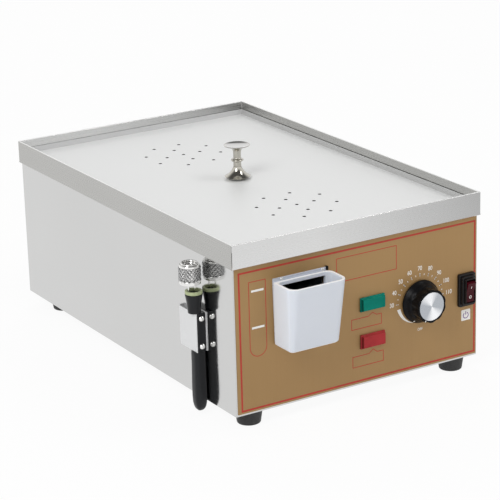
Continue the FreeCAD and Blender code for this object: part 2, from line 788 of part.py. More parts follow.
def tank():
    """Folded water tank: a basin under a flange that carries the steam plate."""
    body = new_body("tank", z=TANK_TOP)
    flange = new_sketch(body, "XY_Plane")
    draw_box(flange, f"-{FLANGE_X}", FLANGE_X, f"{TANK_FRONT} - tank_flange", FLANGE_Y)
    pad(flange, "sheet_gauge", reverse=True)
    basin = new_sketch(body, "XY_Plane")
    draw_box(basin, f"-{TANK_X}", TANK_X, TANK_FRONT, TANK_BACK)
    pad(basin, "tank_depth", reverse=True)
    hollow = new_sketch(body, "XY_Plane")
    draw_box(hollow, f"sheet_gauge - {TANK_X}", f"{TANK_X} - sheet_gauge", f"{TANK_FRONT} + sheet_gauge",
             f"{TANK_BACK} - sheet_gauge")
    pocket(hollow, "tank_depth - sheet_gauge")
    openings = new_sketch(body, "XZ_Plane", up=f"-{TANK_TOP}", lift=f"sheet_gauge - {TANK_FRONT}")
    draw_inlet_window(openings, BOX_X, INLET_BOTTOM, INLET_TOP)
    for side in (-1, 1):
        draw_circle(openings, "bush_diameter / 2 + screw_clearance", f"{side} * {HEATER_X}", HEATER_Z)
    draw_circle(openings, "gland_sleeve_diameter / 2 + screw_clearance", BULB_X, BULB_Z)
    pocket(openings, "3 * sheet_gauge")


def bay_cover():
    """Cover of the front bay, level with the tank's flange."""
    body = new_body("bay_cover", z=TANK_TOP)
    sketch = new_sketch(body, "XY_Plane")
    draw_box(sketch, f"-{FLANGE_X}", FLANGE_X, f"-{FLANGE_Y}", f"{TANK_FRONT} - tank_flange")
    pad(sketch, "sheet_gauge", reverse=True)


def heating_tube():
    """Bent tube along the tank's floor, with both ends through the tank's front wall."""
    body = new_body("heating_tube", z=HEATER_Z)
    bend = "(heater_leg_spacing / 2)"
    far = f"({TANK_BACK} - heater_back_gap - {bend})"
    near = f"({TANK_FRONT} + heater_front_gap + {bend})"
    start = f"({TANK_FRONT} - heater_stub)"
    spine = new_sketch(body, "XY_Plane")
    draw(spine, [
        (f"-3 * {bend}", start),
        (f"-3 * {bend}", far, bend, -1),
        (f"-2 * {bend}", f"{far} + {bend}", bend, -1),
        (f"-{bend}", far),
        (f"-{bend}", near, bend, 1),
        ("0", f"{near} - {bend}", bend, 1),
        (bend, near),
        (bend, far, bend, -1),
        (f"2 * {bend}", f"{far} + {bend}", bend, -1),
        (f"3 * {bend}", far),
        (f"3 * {bend}", start),
    ], closed=False)
    section = new_sketch(body, "XZ_Plane", lift=f"-{start}")
    draw_circle(section, "heater_diameter / 2", f"-3 * {bend}")
    pipe = body.newObject("PartDesign::AdditivePipe", "heating_tube_pipe")
    pipe.Profile = section
    pipe.Spine = (spine, [])


def heater_bushes():
    """Flanged bushes that seal the tube's ends in the tank's front wall."""
    body = new_body("heater_bushes", y=TANK_FRONT, z=HEATER_Z)
    sketch = new_sketch(body, "XY_Plane", right=HEATER_X)
    bore = "(heater_diameter / 2 + shaft_fit)"
    draw(sketch, [
        (bore, "-bush_reach"),
        ("bush_diameter / 2", "-bush_reach"),
        ("bush_diameter / 2", "sheet_gauge"),
        ("bush_flange_diameter / 2", "sheet_gauge"),
        ("bush_flange_diameter / 2", "sheet_gauge + bush_flange"),
        (bore, "sheet_gauge + bush_flange"),
    ])
    revolve(sketch)
    mirror_all(body, "YZ_Plane")


def heater_nuts():
    """Nuts that draw the bushes tight against the tank's front wall."""
    body = new_body("heater_nuts", y=TANK_FRONT, z=HEATER_Z)
    sketch = new_sketch(body, "XZ_Plane")
    draw_hexagon(sketch, "(1.4 * bush_diameter)", HEATER_X)
    draw_circle(sketch, "bush_diameter / 2 + shaft_fit", HEATER_X)
    pad(sketch, "0.6 * bush_reach")
    mirror_all(body, "YZ_Plane")


def heater_terminals():
    """Connection pins on the ends of the heating tube."""
    body = new_body("heater_terminals", y=f"{TANK_FRONT} - heater_stub", z=HEATER_Z)
    sketch = new_sketch(body, "XZ_Plane")
    draw_circle(sketch, "terminal_diameter / 2", HEATER_X)
    pad(sketch, "terminal_length")
    mirror_all(body, "YZ_Plane")


# Thermostat and dial

def thermostat():
    """Switch block with a bracket behind the front plate and a boss that guides the shaft."""
    body = new_body("thermostat", DIAL_X, PLATE_BACK_Y, DIAL_Z)
    bracket = new_sketch(body, "XZ_Plane")
    draw_centred_box(bracket, "bracket_width", "bracket_height")
    pad(bracket, "bracket_gauge", reverse=True)
    block = new_sketch(body, "XZ_Plane", lift="-bracket_gauge")
    draw_centred_box(block, "thermostat_width", "thermostat_width")
    pad(block, "thermostat_depth", reverse=True)
    boss = new_sketch(body, "XZ_Plane")
    draw_circle(boss, "boss_diameter / 2")
    pad(boss, "sheet_gauge + fascia_gauge")
    bore = new_sketch(body, "XZ_Plane", lift="sheet_gauge + fascia_gauge")
    draw_circle(bore, "shaft_diameter / 2 + shaft_fit")
    pocket(bore, "sheet_gauge + fascia_gauge + thermostat_bore_depth")
    holes = new_sketch(body, "XZ_Plane")
    for side in (-1, 1):
        draw_circle(holes, "bracket_screw_diameter / 2 + screw_clearance",
                    f"{side} * bracket_screw_spacing / 2")
    pocket(holes, "bracket_gauge + 2 * bracket_screw_diameter")


def thermostat_screws():
    """Two screws through the fascia into the thermostat's bracket, hidden by the dial."""
    body = new_body("thermostat_screws", DIAL_X, FASCIA_Y, DIAL_Z)
    sketch = new_sketch(body, "XY_Plane", right="bracket_screw_spacing / 2")
    tip = "(fascia_gauge + sheet_gauge + bracket_gauge + bracket_screw_diameter)"
    draw(sketch, [
        ("0", "-bracket_screw_diameter / 2"),
        ("0.9 * bracket_screw_diameter", "-0.2 * bracket_screw_diameter"),
        ("0.9 * bracket_screw_diameter", "0"),
        ("bracket_screw_diameter / 2", "0"),
        ("bracket_screw_diameter / 2", tip),
        ("0", tip),
    ])
    revolve(sketch)
    mirror_all(body, "YZ_Plane")


def thermostat_shaft():
    """Shaft that the dial turns."""
    body = new_body("thermostat_shaft", DIAL_X, f"{FASCIA_Y} - dial_gap", DIAL_Z)
    sketch = new_sketch(body, "XZ_Plane", lift="0.95 * dial_bore_depth")
    draw_circle(sketch, "shaft_diameter / 2")
    pad(sketch, "0.95 * dial_bore_depth + dial_gap + fascia_gauge + sheet_gauge"
                " + 0.8 * thermostat_bore_depth", reverse=True)


def dial_knob():
    """Moulded dial: wide flange, hollow flare, fluted grip and a seat for the metal cap."""
    body = new_body("dial_knob", DIAL_X, f"{FASCIA_Y} - dial_gap", DIAL_Z)
    sketch = new_sketch(body, "XY_Plane")
    bore = "(shaft_diameter / 2 + shaft_fit)"
    seat = "(cap_diameter / 2 + cap_clearance)"
    draw(sketch, [
        (bore, "0"),
        (bore, "-dial_bore_depth"),
        ("0", "-dial_bore_depth"),
        ("0", "cap_gauge - dial_depth"),
        (seat, "cap_gauge - dial_depth"),
        (seat, "-dial_depth"),
        ("dial_nose_diameter / 2", "-dial_depth"),
        ("dial_grip_diameter / 2", "-dial_flare_depth", "0.9 * dial_flare_depth", -1),
        ("dial_flange_diameter / 2", "-dial_flange_edge"),
        ("dial_flange_diameter / 2", "0"),
        ("dial_recess_diameter / 2", "0"),
        ("dial_recess_diameter / 2", "-dial_recess_depth"),
        ("dial_hub_diameter / 2", "-dial_recess_depth"),
        ("dial_hub_diameter / 2", "0"),
    ])
    revolve(sketch)
    flute = new_sketch(body, "XZ_Plane", lift="dial_depth")
    draw_circle(flute, "dial_flute_diameter / 2", "0",
                "dial_grip_diameter / 2 + dial_flute_diameter / 2 - dial_flute_bite")
    repeat_round(pocket(flute, "dial_flute_length"), flute, "dial_flute_count")


def dial_cap():
    """Spun aluminium disc let into the dial's nose."""
    body = new_body("dial_cap", DIAL_X, f"{FASCIA_Y} - dial_gap - dial_depth", DIAL_Z)
    sketch = new_sketch(body, "XY_Plane")
    draw(sketch, [
        ("0", "cap_gauge"),
        ("0", "0.4 * cap_gauge"),
        ("0.93 * cap_diameter / 2", "0"),
        ("cap_diameter / 2", "0.3 * cap_gauge"),
        ("cap_diameter / 2", "cap_gauge"),
    ])
    revolve(sketch)


def bulb():
    """Thermostat's sensing bulb, through its gland into the tank."""
    body = new_body("bulb", BULB_X, f"{TANK_FRONT} - gland_flange", BULB_Z)
    sketch = new_sketch(body, "XZ_Plane")
    draw_circle(sketch, "bulb_diameter / 2")
    pad(sketch, "bulb_length", reverse=True)


def bulb_gland():
    """Flanged gland that holds the bulb in the tank's front wall."""
    body = new_body("bulb_gland", BULB_X, TANK_FRONT, BULB_Z)
    sketch = new_sketch(body, "XY_Plane")
    bore = "(bulb_diameter / 2 + shaft_fit)"
    draw(sketch, [
        (bore, "-gland_flange"),
        ("gland_flange_diameter / 2", "-gland_flange"),
        ("gland_flange_diameter / 2", "0"),
        ("gland_sleeve_diameter / 2", "0"),
        ("gland_sleeve_diameter / 2", "gland_flange"),
        (bore, "gland_flange"),
    ])
    revolve(sketch)


def capillary():
    """Thin tube from the thermostat to its bulb."""
    back = f"({PLATE_BACK_Y} + bracket_gauge + thermostat_depth)"
    body = new_body("capillary", BULB_X, back, BULB_Z)
    sketch = new_sketch(body, "XZ_Plane")
    draw_circle(sketch, "capillary_diameter / 2")
    pad(sketch, f"{TANK_FRONT} - gland_flange - {back}", reverse=True)


# Lamps and switch

def lamp(colour):
    """Indicator lamp: a bevelled lens on the fascia, and its holder behind."""
    lens = new_body(f"lamp_{colour}_lens", LAMP_X, FASCIA_Y, LAMP_Z[colour])
    rim = new_sketch(lens, "XZ_Plane")
    draw_centred_box(rim, "lamp_width", "lamp_height")
    pad(rim, "lens_edge")
    crown = new_sketch(lens, "XZ_Plane", lift="lens_edge")
    draw_centred_box(crown, "(lamp_width - lens_edge)", "(lamp_height - lens_edge)")
    pad(crown, "lens_depth - lens_edge", taper="-lens_taper")
    holder = new_body(f"lamp_{colour}_body", LAMP_X, FASCIA_Y, LAMP_Z[colour])
    block = new_sketch(holder, "XZ_Plane")
    draw_centred_box(block, f"({LAMP_BODY_WIDTH} - 2 * screw_clearance)",
                     f"({LAMP_BODY_HEIGHT} - 2 * screw_clearance)")
    pad(block, "lamp_body_depth", reverse=True)


def switch_boot():
    """Stepped splash frame round the rocker."""
    body = new_body("switch_boot", SWITCH_X, FASCIA_Y, SWITCH_Z)
    depth = "0"
    inset = "0"
    for step in ("boot_first_step", "boot_second_step", "boot_third_step"):
        sketch = new_sketch(body, "XZ_Plane", lift=depth)
        draw_centred_box(sketch, f"(boot_width - 2 * {inset})", f"(boot_height - 2 * {inset})")
        pad(sketch, step, taper="-boot_step_inset")
        depth = f"{depth} + {step}"
        inset = f"({inset} + boot_step_inset)"
    mouth = new_sketch(body, "XZ_Plane", lift=BOOT_DEPTH)
    draw_centred_box(mouth, ROCKER_SPACE_WIDTH, ROCKER_SPACE_HEIGHT)
    pocket(mouth, BOOT_DEPTH)
    pivot = new_sketch(body, "YZ_Plane", right="-rocker_pivot")
    draw_circle(pivot, "rocker_pin_diameter / 2 + shaft_fit")
    pocket(pivot, f"{ROCKER_SPACE_WIDTH} + 2 * rocker_pin_reach", both_ways=True)


def switch_body():
    """Contact block behind the front plate, hollow where the rocker swings."""
    body = new_body("switch_body", SWITCH_X, FASCIA_Y, SWITCH_Z)
    block = new_sketch(body, "XZ_Plane")
    draw_centred_box(block, f"({SWITCH_BODY_WIDTH} - 2 * screw_clearance)",
                     f"({SWITCH_BODY_HEIGHT} - 2 * screw_clearance)")
    pad(block, "switch_body_depth", reverse=True)
    hollow = new_sketch(body, "XZ_Plane")
    draw_centred_box(hollow, ROCKER_SPACE_WIDTH, ROCKER_SPACE_HEIGHT)
    pocket(hollow, "2 * rocker_back + rocker_end_gap")


def power_rocker():
    """Rocker with a dipped face, tipped to its off side, and its two pivot pins."""
    body = new_body("power_rocker", SWITCH_X, f"{FASCIA_Y} - rocker_pivot", SWITCH_Z)
    body.Placement.Rotation = FreeCAD.Rotation(Vector(1, 0, 0), number("rocker_tilt"))
    half = "(rocker_height / 2)"
    profile = new_sketch(body, "YZ_Plane")
    draw(profile, [
        ("-rocker_crown", half),
        ("rocker_dip - rocker_crown", "0"),
        ("-rocker_crown", f"-{half}"),
        ("0", f"-{half}", f"1.4 * {half}", 1),
        ("rocker_back", "0", f"1.4 * {half}", 1),
        ("0", half),
    ])
    pad(profile, "rocker_width", both_ways=True)
    pins = new_sketch(body, "YZ_Plane")
    draw_circle(pins, "rocker_pin_diameter / 2")
    pad(pins, f"{ROCKER_SPACE_WIDTH} + 1.6 * rocker_pin_reach", both_ways=True)


# Water box

def draw_tub(sketch, width, front, back, corner, shift="0"):
    """Draw the box's plan: square at the panel, rounded at the front, moved to the left by a shift."""
    left = f"(-{width} / 2 - {shift})"
    right = f"({width} / 2 - {shift})"
    draw(sketch, [
        (left, back),
        (left, f"{front} + {corner}", corner, 1),
        (f"{left} + {corner}", front),
        (f"{right} - {corner}", front, corner, 1),
        (right, f"{front} + {corner}"),
        (right, back),
    ])


def water_box():
    """Tapered filling box, open at the top and through its back into the inlet."""
    body = new_body("water_box", BOX_X, f"{FASCIA_Y} - back_plate_gauge", BOX_BOTTOM)
    foot = new_sketch(body, "XY_Plane")
    draw_tub(foot, "(box_bottom_width - 2 * box_bevel)", "(box_bevel - box_bottom_reach)", "0",
             "box_bottom_corner", "box_bottom_shift")
    low = new_sketch(body, "XY_Plane", lift="box_bevel")
    draw_tub(low, "box_bottom_width", "-box_bottom_reach", "0", "box_bottom_corner", "box_bottom_shift")
    high = new_sketch(body, "XY_Plane", lift="box_height")
    draw_tub(high, "box_top_width", "-box_top_reach", "0", "box_corner")
    loft("AdditiveLoft", foot, low, high)
    floor = new_sketch(body, "XY_Plane", lift="box_bevel")
    mouth = new_sketch(body, "XY_Plane", lift="box_height")
    draw_tub(floor, "(box_bottom_width - 2 * box_wall)", "(box_wall - box_bottom_reach)", "-box_wall",
             "(box_bottom_corner - box_wall)", "box_bottom_shift")
    draw_tub(mouth, "(box_top_width - 2 * box_wall)", "(box_wall - box_top_reach)", "-box_wall",
             "(box_corner - box_wall)")
    loft("SubtractiveLoft", floor, mouth)
    window = new_sketch(body, "XZ_Plane")
    draw_inlet_window(window, "0", "box_height - inlet_drop - inlet_height", "box_height - inlet_drop")
    pocket(window, "1.5 * box_wall", reverse=True)


def box_back_plate():
    """Mounting plate between the water box and the fascia."""
    body = new_body("box_back_plate", BOX_X, FASCIA_Y, BOX_BOTTOM)
    sketch = new_sketch(body, "XZ_Plane")
    draw(sketch, [
        ("back_plate_inset - box_bottom_width / 2 - box_bottom_shift", "box_bevel"),
        ("box_top_width / 2 - back_plate_end_inset", "box_bevel"),
        ("box_top_width / 2 - back_plate_end_inset", "box_height + back_plate_rise"),
        ("-box_top_width / 2", "box_height + back_plate_rise"),
        ("-box_top_width / 2", "box_height"),
    ])
    draw_inlet_window(sketch, "0", "box_height - inlet_drop - inlet_height", "box_height - inlet_drop")
    pad(sketch, "back_plate_gauge")


def box_screws():
    """Screw heads that hold the mounting plate along its top edge."""
    body = new_body("box_screws", BOX_X, f"{FASCIA_Y} - back_plate_gauge", f"{BOX_TOP} + back_plate_rise / 2")
    sketch = new_sketch(body, "XY_Plane", right="box_screw_spacing / 2")
    dome = dome_radius("(box_screw_diameter / 2)", "(box_screw_diameter / 3)")
    draw(sketch, [
        ("0", "0"),
        ("0", "-box_screw_diameter / 3", dome, 1),
        ("box_screw_diameter / 2", "0"),
    ])
    revolve(sketch)
    mirror_all(body, "YZ_Plane")


def box_latch():
    """Catch at the end of the mounting plate that keeps the water box on."""
    end = f"{BOX_X} + box_top_width / 2 - back_plate_end_inset"
    body = new_body("box_latch", end, FASCIA_Y, BOX_TOP)
    sketch = new_sketch(body, "XZ_Plane")
    draw_box(sketch, "0", "latch_width", "0", "latch_height")
    pad(sketch, "latch_reach")


def inlet_duct():
    """Passage from the water box's back to the tank's front wall."""
    body = new_body("inlet_duct", BOX_X, PLATE_BACK_Y, INLET_BOTTOM)
    sketch = new_sketch(body, "XZ_Plane", up="inlet_height / 2")
    draw_centred_box(sketch, "(inlet_width + 2 * sheet_gauge)", "(inlet_height + 2 * sheet_gauge)")
    draw_centred_box(sketch, "inlet_width", "inlet_height")
    pad(sketch, "bay_depth - sheet_gauge", reverse=True)


# Mains entry

def cable_gland():
    """Gland for the mains lead, through the back panel."""
    body = new_body("cable_gland", GLAND_X, END_Y, "foot_height + cable_gland_level")
    sketch = new_sketch(body, "XY_Plane")
    bore = "(cable_gland_bore / 2)"
    draw(sketch, [
        (bore, "-cable_gland_reach"),
        ("cable_gland_thread / 2", "-cable_gland_reach"),
        ("cable_gland_thread / 2", "0"),
        ("cable_gland_body / 2", "0"),
        ("cable_gland_body / 2", "0.6 * cable_gland_length"),
        (f"{bore} + sheet_gauge", "cable_gland_length"),
        (bore, "cable_gland_length"),
    ])
    revolve(sketch)


def cable_gland_nut():
    """Lock nut of the cable gland, inside the back panel."""
    body = new_body("cable_gland_nut", GLAND_X, f"{END_Y} - sheet_gauge", "foot_height + cable_gland_level")
    sketch = new_sketch(body, "XZ_Plane")
    draw_hexagon(sketch, "cable_gland_body")
    draw_circle(sketch, "cable_gland_thread / 2 + shaft_fit")
    pad(sketch, "cable_gland_nut")


def terminal_block():
    """Three-way terminal block on the base plate, in the front bay."""
    body = new_body("terminal_block", "terminal_block_x", f"{PLATE_BACK_Y} + terminal_block_setback",
                    BASE_TOP)
    way = "(terminal_block_width / 3)"
    sketch = new_sketch(body, "XY_Plane")
    draw_centred_box(sketch, "terminal_block_width", "terminal_block_depth")
    pad(sketch, "terminal_block_height")
    wells = new_sketch(body, "XY_Plane", lift="terminal_block_height")
    for i in (-1, 0, 1):
        for end in (-1, 1):
            draw_centred_box(wells, f"(0.7 * {way})", "(terminal_block_depth / 4)", f"{i} * {way}",
                             f"{end} * terminal_block_depth / 4")
    pocket(wells, "terminal_block_height / 2")


# Side clip and lifter

def side_clip():
    """Bent steel clip on the left side: a tab on the wall, a round bend and a free outer leaf."""
    body = new_body("side_clip", f"-{SIDE_X}", CLIP_FRONT_Y, CLIP_BOTTOM)
    outer = "(clip_gap / 2 + sheet_gauge)"
    bend = f"(clip_length - {outer})"
    sketch = new_sketch(body, "XY_Plane")
    draw(sketch, [
        (f"-2 * {outer}", "0"),
        ("-clip_gap - sheet_gauge", "0"),
        ("-clip_gap - sheet_gauge", bend, "clip_gap / 2", -1),
        (f"-{outer}", f"{bend} + clip_gap / 2", "clip_gap / 2", -1),
        ("-sheet_gauge", bend),
        ("-sheet_gauge", "0"),
        ("0", "0"),
        ("0", bend, outer, 1),
        (f"-{outer}", f"{bend} + {outer}", outer, 1),
        (f"-2 * {outer}", bend),
    ])
    pad(sketch, "clip_height")


def lifter_neck():
    """Flat neck of the lifter, held between the clip's tab and its outer leaf."""
    body = new_body("lifter_neck", NECK_X, NECK_Y, CLIP_BOTTOM)
    sketch = new_sketch(body, "XY_Plane")
    half_width = "(clip_gap / 2 - lifter_fit)"
    draw_round_box(sketch, f"-{half_width}", half_width, "-neck_depth / 2", "neck_depth / 2",
                   "neck_edge_radius")
    pad(sketch, "clip_height")


def lifter_rivets():
    """Domed rivets on the neck's front."""
    body = new_body("lifter_rivets", NECK_X, CLIP_FRONT_Y, f"{CLIP_BOTTOM} + clip_height / 2")
    sketch = new_sketch(body, "XY_Plane", lift="rivet_spacing / 2")
    draw(sketch, [
        ("0", "0"),
        ("0", "-rivet_height", dome_radius("(rivet_diameter / 2)", "rivet_height"), 1),
        ("rivet_diameter / 2", "0"),
    ])
    revolve(sketch)
    mirror_all(body, "XY_Plane")


def lifter_grip():
    """Moulded grip: a flat-sided handle with a round end and soft edges."""
    body = new_body("lifter_grip", f"-{SIDE_X} - grip_offset", GRIP_Y)
    half = "(grip_width / 2)"
    profile = new_sketch(body, "XZ_Plane")
    draw(profile, [
        (f"-{half}", CLIP_BOTTOM),
        (f"-{half}", f"grip_floor_gap + {half}", half, 1),
        ("0", "grip_floor_gap", half, 1),
        (half, f"grip_floor_gap + {half}"),
        (half, CLIP_BOTTOM),
    ])
    pad(profile, "grip_depth", both_ways=True)
    top = number(CLIP_BOTTOM)
    round_edges(body, "grip_edge_radius",
                lambda edge: edge.BoundBox.YLength < 1e-4 and not lies_at(edge, top))


def lifter_collar():
    """Flared collar above the neck."""
    body = new_body("lifter_collar", f"-{SIDE_X} - collar_offset", AXIS_Y, CLIP_TOP)
    sketch = new_sketch(body, "XZ_Plane")
    draw(sketch, [
        ("0", "0"),
        ("collar_bottom_diameter / 2", "0"),
        ("collar_top_diameter / 2", "collar_height"),
        ("0", "collar_height"),
    ])
    revolve(sketch)


def lifter_ring():
    """Ring on the collar's mouth."""
    body = new_body("lifter_ring", f"-{SIDE_X} - collar_offset", AXIS_Y, COLLAR_TOP)
    sketch = new_sketch(body, "XY_Plane")
    draw_circle(sketch, "collar_top_diameter / 2")
    draw_circle(sketch, "collar_top_diameter / 2 - lifter_ring_wall")
    pad(sketch, "lifter_ring_height")


def lifter_prongs():
    """Two wire prongs between the collar and the head."""
    body = new_body("lifter_prongs", f"-{SIDE_X} - (collar_offset + head_offset) / 2", AXIS_Y, COLLAR_TOP)
    sketch = new_sketch(body, "XY_Plane")
    draw_circle(sketch, "prong_diameter / 2", "prong_spacing / 2")
    pad(sketch, "prong_length")
    mirror_all(body, "YZ_Plane")


def lifter_head():
    """Fluted metal head of the lifter."""
    body = new_body("lifter_head", f"-{SIDE_X} - head_offset", AXIS_Y, HEAD_BOTTOM)
    sketch = new_sketch(body, "XY_Plane")
    draw_circle(sketch, "head_diameter / 2")
    pad(sketch, "head_height")
    round_edges(body, "head_edge_radius", lambda edge: lies_at(edge, number("head_height")))
    flute = new_sketch(body, "XY_Plane")
    draw_circle(flute, "head_flute_diameter / 2", "head_diameter / 2 + 0.15 * head_flute_diameter")
    repeat_round(pocket(flute, "head_height", reverse=True), flute, "head_flute_count")


def lifter_bail():
    """Wire ring on top of the lifter's head."""
    ring = doc.addObject("Part::Torus", "lifter_bail")
    ring.Label = "lifter_bail"
    tie(ring, Radius1="bail_diameter / 2", Radius2="bail_wire / 2",
        Placement__Base__x=f"-{SIDE_X} - head_offset", Placement__Base__y=AXIS_Y,
        Placement__Base__z=f"{HEAD_BOTTOM} + head_height + bail_wire / 2")
    sub_parts.append(ring)


def build():
    """Make every sub-part."""
    side_panel("side_panel_left", -1)
    side_panel("side_panel_right", 1)
    for make in (front_plate, fascia, back_panel, base_plate, top_rim, feet, foot_screws, foot_nuts,
                 panel_screws):
        make()
    for make in (lid_pan, lid_knob, lid_screw, lid_washer):
        make()
    for make in (tank, bay_cover, heating_tube, heater_bushes, heater_nuts, heater_terminals):
        make()
    for make in (thermostat, thermostat_screws, thermostat_shaft, dial_knob, dial_cap, bulb, bulb_gland,
                 capillary):
        make()
    lamp("green")
    lamp("red")
    for make in (switch_boot, switch_body, power_rocker):
        make()
    for make in (water_box, box_back_plate, box_screws, box_latch, inlet_duct):
        make()
    for make in (cable_gland, cable_gland_nut, terminal_block):
        make()
    for make in (side_clip, lifter_neck, lifter_rivets, lifter_grip, lifter_collar, lifter_ring,
                 lifter_prongs, lifter_head, lifter_bail):
        make()
    doc.recompute()


def check():
    """Stop if any object failed or any sub-part has no sound shape."""
    for item in doc.Objects:
        if {"Invalid", "Error"} & set(item.State):
            raise RuntimeError(f"{item.Label} failed: {item.State}")
    for part in sub_parts:
        if part.Shape.isNull() or not part.Shape.isValid() or not part.Shape.Solids:
            raise RuntimeError(f"{part.Label} has no valid solid")


def export():
    """Write one file per sub-part."""
    os.makedirs("parts", exist_ok=True)
    for part in sub_parts:
        part.Shape.exportStep(f"parts/{part.Label}.step")


build()
check()
export()
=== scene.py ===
"""Looks of a table-top bun steamer, laid out as an add-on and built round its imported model."""
import json
import math

import bmesh
import bpy
from bpy.props import FloatProperty, FloatVectorProperty, IntProperty, PointerProperty
from mathutils import Matrix, Vector


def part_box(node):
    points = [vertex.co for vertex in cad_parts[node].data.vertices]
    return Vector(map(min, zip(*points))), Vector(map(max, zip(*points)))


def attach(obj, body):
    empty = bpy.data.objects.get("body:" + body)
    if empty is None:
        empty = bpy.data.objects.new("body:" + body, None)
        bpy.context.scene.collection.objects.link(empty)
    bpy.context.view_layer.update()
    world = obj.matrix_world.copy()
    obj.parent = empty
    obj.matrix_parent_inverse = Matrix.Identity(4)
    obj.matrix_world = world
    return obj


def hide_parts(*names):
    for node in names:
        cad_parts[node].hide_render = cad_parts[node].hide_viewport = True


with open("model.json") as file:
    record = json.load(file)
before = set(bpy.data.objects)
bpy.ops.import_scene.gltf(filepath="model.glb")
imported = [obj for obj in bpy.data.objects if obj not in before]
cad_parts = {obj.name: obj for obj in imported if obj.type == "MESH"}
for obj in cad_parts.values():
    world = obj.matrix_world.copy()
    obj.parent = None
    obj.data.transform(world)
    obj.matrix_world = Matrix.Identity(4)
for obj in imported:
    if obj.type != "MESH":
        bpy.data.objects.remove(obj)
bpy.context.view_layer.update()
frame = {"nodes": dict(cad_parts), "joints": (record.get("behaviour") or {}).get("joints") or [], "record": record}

bl_info = {
    "name": "Bun steamer",
    "version": (1, 0, 0),
    "blender": (4, 5, 0),
    "location": "3D View > Sidebar > Steamer",
    "description": "Builds the visible pieces, finishes and studio of a table-top bun steamer",
    "category": "Object",
}

MM = 0.001
PRINT_DROP = 156.0 * MM  # from the panel's top down to the level that the print is measured from
SHARP_EDGE = math.radians(30)
X = Vector((1, 0, 0))
Y = Vector((0, 1, 0))
Z = Vector((0, 0, 1))
UPWARD = (X, Y, Z)
FORWARD = (X, Z, -Y)
BACKWARD = (Z, X, Y)


def mm(*values):
    """Give millimetres as metres."""
    return tuple(value * MM for value in values)


def scaled(wide, tall, *shares):
    """Give points from shares of a width and a height."""
    return [(x * wide, y * tall) for x, y in shares]


def tone(*channels):
    """Give the linear colour of a display colour from 0 to 255."""
    return tuple(((c / 255 + 0.055) / 1.055) ** 2.4 if c > 10 else c / 255 / 12.92 for c in channels)


def length(name, text, default):
    """Declare a length in metres."""
    return FloatProperty(name=name, description=text, default=default, min=0.0, unit="LENGTH", precision=5)


def colour(name, text, default):
    """Declare a colour."""
    return FloatVectorProperty(name=name, description=text, default=default, size=3, min=0.0, max=1.0,
                               subtype="COLOR")


class SteamerSizes(bpy.types.PropertyGroup):
    """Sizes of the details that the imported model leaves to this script."""

    rim_seam: length("Rim seam", "Open seam between two folded sides of the rim", 0.4 * MM)
    rim_round: length("Rim rounding", "Rounding of the rim's hemmed top", 0.7 * MM)
    ink: length("Ink", "Thickness of the print on the panel", 0.06 * MM)
    border_line: length("Border line", "Width of the line round the panel", 1.9 * MM)
    thin_line: length("Thin line", "Width of the frames on the panel", 0.75 * MM)
    figure: length("Figures", "Height of the type on the dial's scale", 6.6 * MM)
    tick: length("Ticks", "Length of the long ticks of the scale", 3.2 * MM)
    edge: length("Rocker edge", "Rounding of the rocker's edges", 0.6 * MM)
    box_wall: length("Box wall", "Wall of the water box", 2.8 * MM)
    box_round: length("Box rounding", "Rounding of the water box's lower edge", 2.0 * MM)
    flute_bite: length("Dial flutes", "Depth of the dial's flutes", 1.0 * MM)
    flute_count: IntProperty(name="Flute count", description="Flutes round the dial", default=10, min=3)
    wire_count: IntProperty(name="Wire count", description="Wires wound each way round the lifter's head",
                            default=15, min=3)


class SteamerColours(bpy.types.PropertyGroup):
    """Colours of the finishes."""

    wall: colour("Walls", "Polished sheet of the walls", (0.63, 0.63, 0.625))
    rim: colour("Rim", "Satin sheet of the rim's sides", (0.5, 0.497, 0.482))
    # Painted light and shade: the rim's front is made lighter at its left and darker at its right by the next two
    # colours.
    rim_light: colour("Rim, light end", "Satin sheet of the rim's front at its left", (0.68, 0.68, 0.675))
    rim_dark: colour("Rim, dark end", "Satin sheet of the rim's front at its right", (0.44, 0.44, 0.437))
    plate: colour("Steam plate", "Satin sheet of the steam plate", (0.812, 0.817, 0.812))
    panel: colour("Panel", "Bronze-gold of the control panel", tone(168, 133, 85))
    border: colour("Border", "Red of the panel's lines", tone(188, 48, 32))
    ink: colour("Print", "White of the scale and marks", tone(250, 248, 243))
    box: colour("Water box", "White moulding", (0.74, 0.775, 0.84))
    green: colour("Green lens", "Lens of the upper lamp", tone(0, 131, 114))
    red: colour("Red lens", "Lens of the lower lamp", tone(180, 58, 61))
    rocker: colour("Rocker", "Dark red moulding", tone(74, 16, 26))
    sign: colour("Power sign", "Violet of the sign under the switch", tone(120, 80, 150))


def sizes():
    """Give the scene's sizes."""
    return bpy.context.scene.steamer_sizes


def colours():
    """Give the scene's colours."""
    return bpy.context.scene.steamer_colours


# Nodes

def feed(node, inputs):
    """Link or set inputs of a node."""
    for label, value in inputs.items():
        socket = node.inputs[label]
        if isinstance(value, bpy.types.NodeSocket):
            node.id_data.links.new(value, socket)
        else:
            socket.default_value = value


def add(tree, kind, inputs=None, output=0, **settings):
    """Add a node and give one of its outputs."""
    node = tree.nodes.new(kind)
    for name, value in settings.items():
        setattr(node, name, value)
    feed(node, inputs or {})
    return node.outputs[output]


def start_group(name, kind, **inputs):
    """Start a node group with inputs listed by their kind, and give it with its inputs and its end."""
    tree = bpy.data.node_groups.new(name, f"{kind}NodeTree")
    for socket, labels in inputs.items():
        for label in labels.split(", "):
            tree.interface.new_socket(name=label, in_out="INPUT", socket_type=f"NodeSocket{socket}")
    label, socket = ("Mask", "Float") if kind == "Shader" else ("Geometry", "Geometry")
    tree.interface.new_socket(name=label, in_out="OUTPUT", socket_type=f"NodeSocket{socket}")
    return tree, tree.nodes.new("NodeGroupInput").outputs, tree.nodes.new("NodeGroupOutput")


def shared_group(name):
    """Give a node group by its name, built the first time."""
    return bpy.data.node_groups.get(name) or GROUPS[name](name)


# Shader groups and finishes

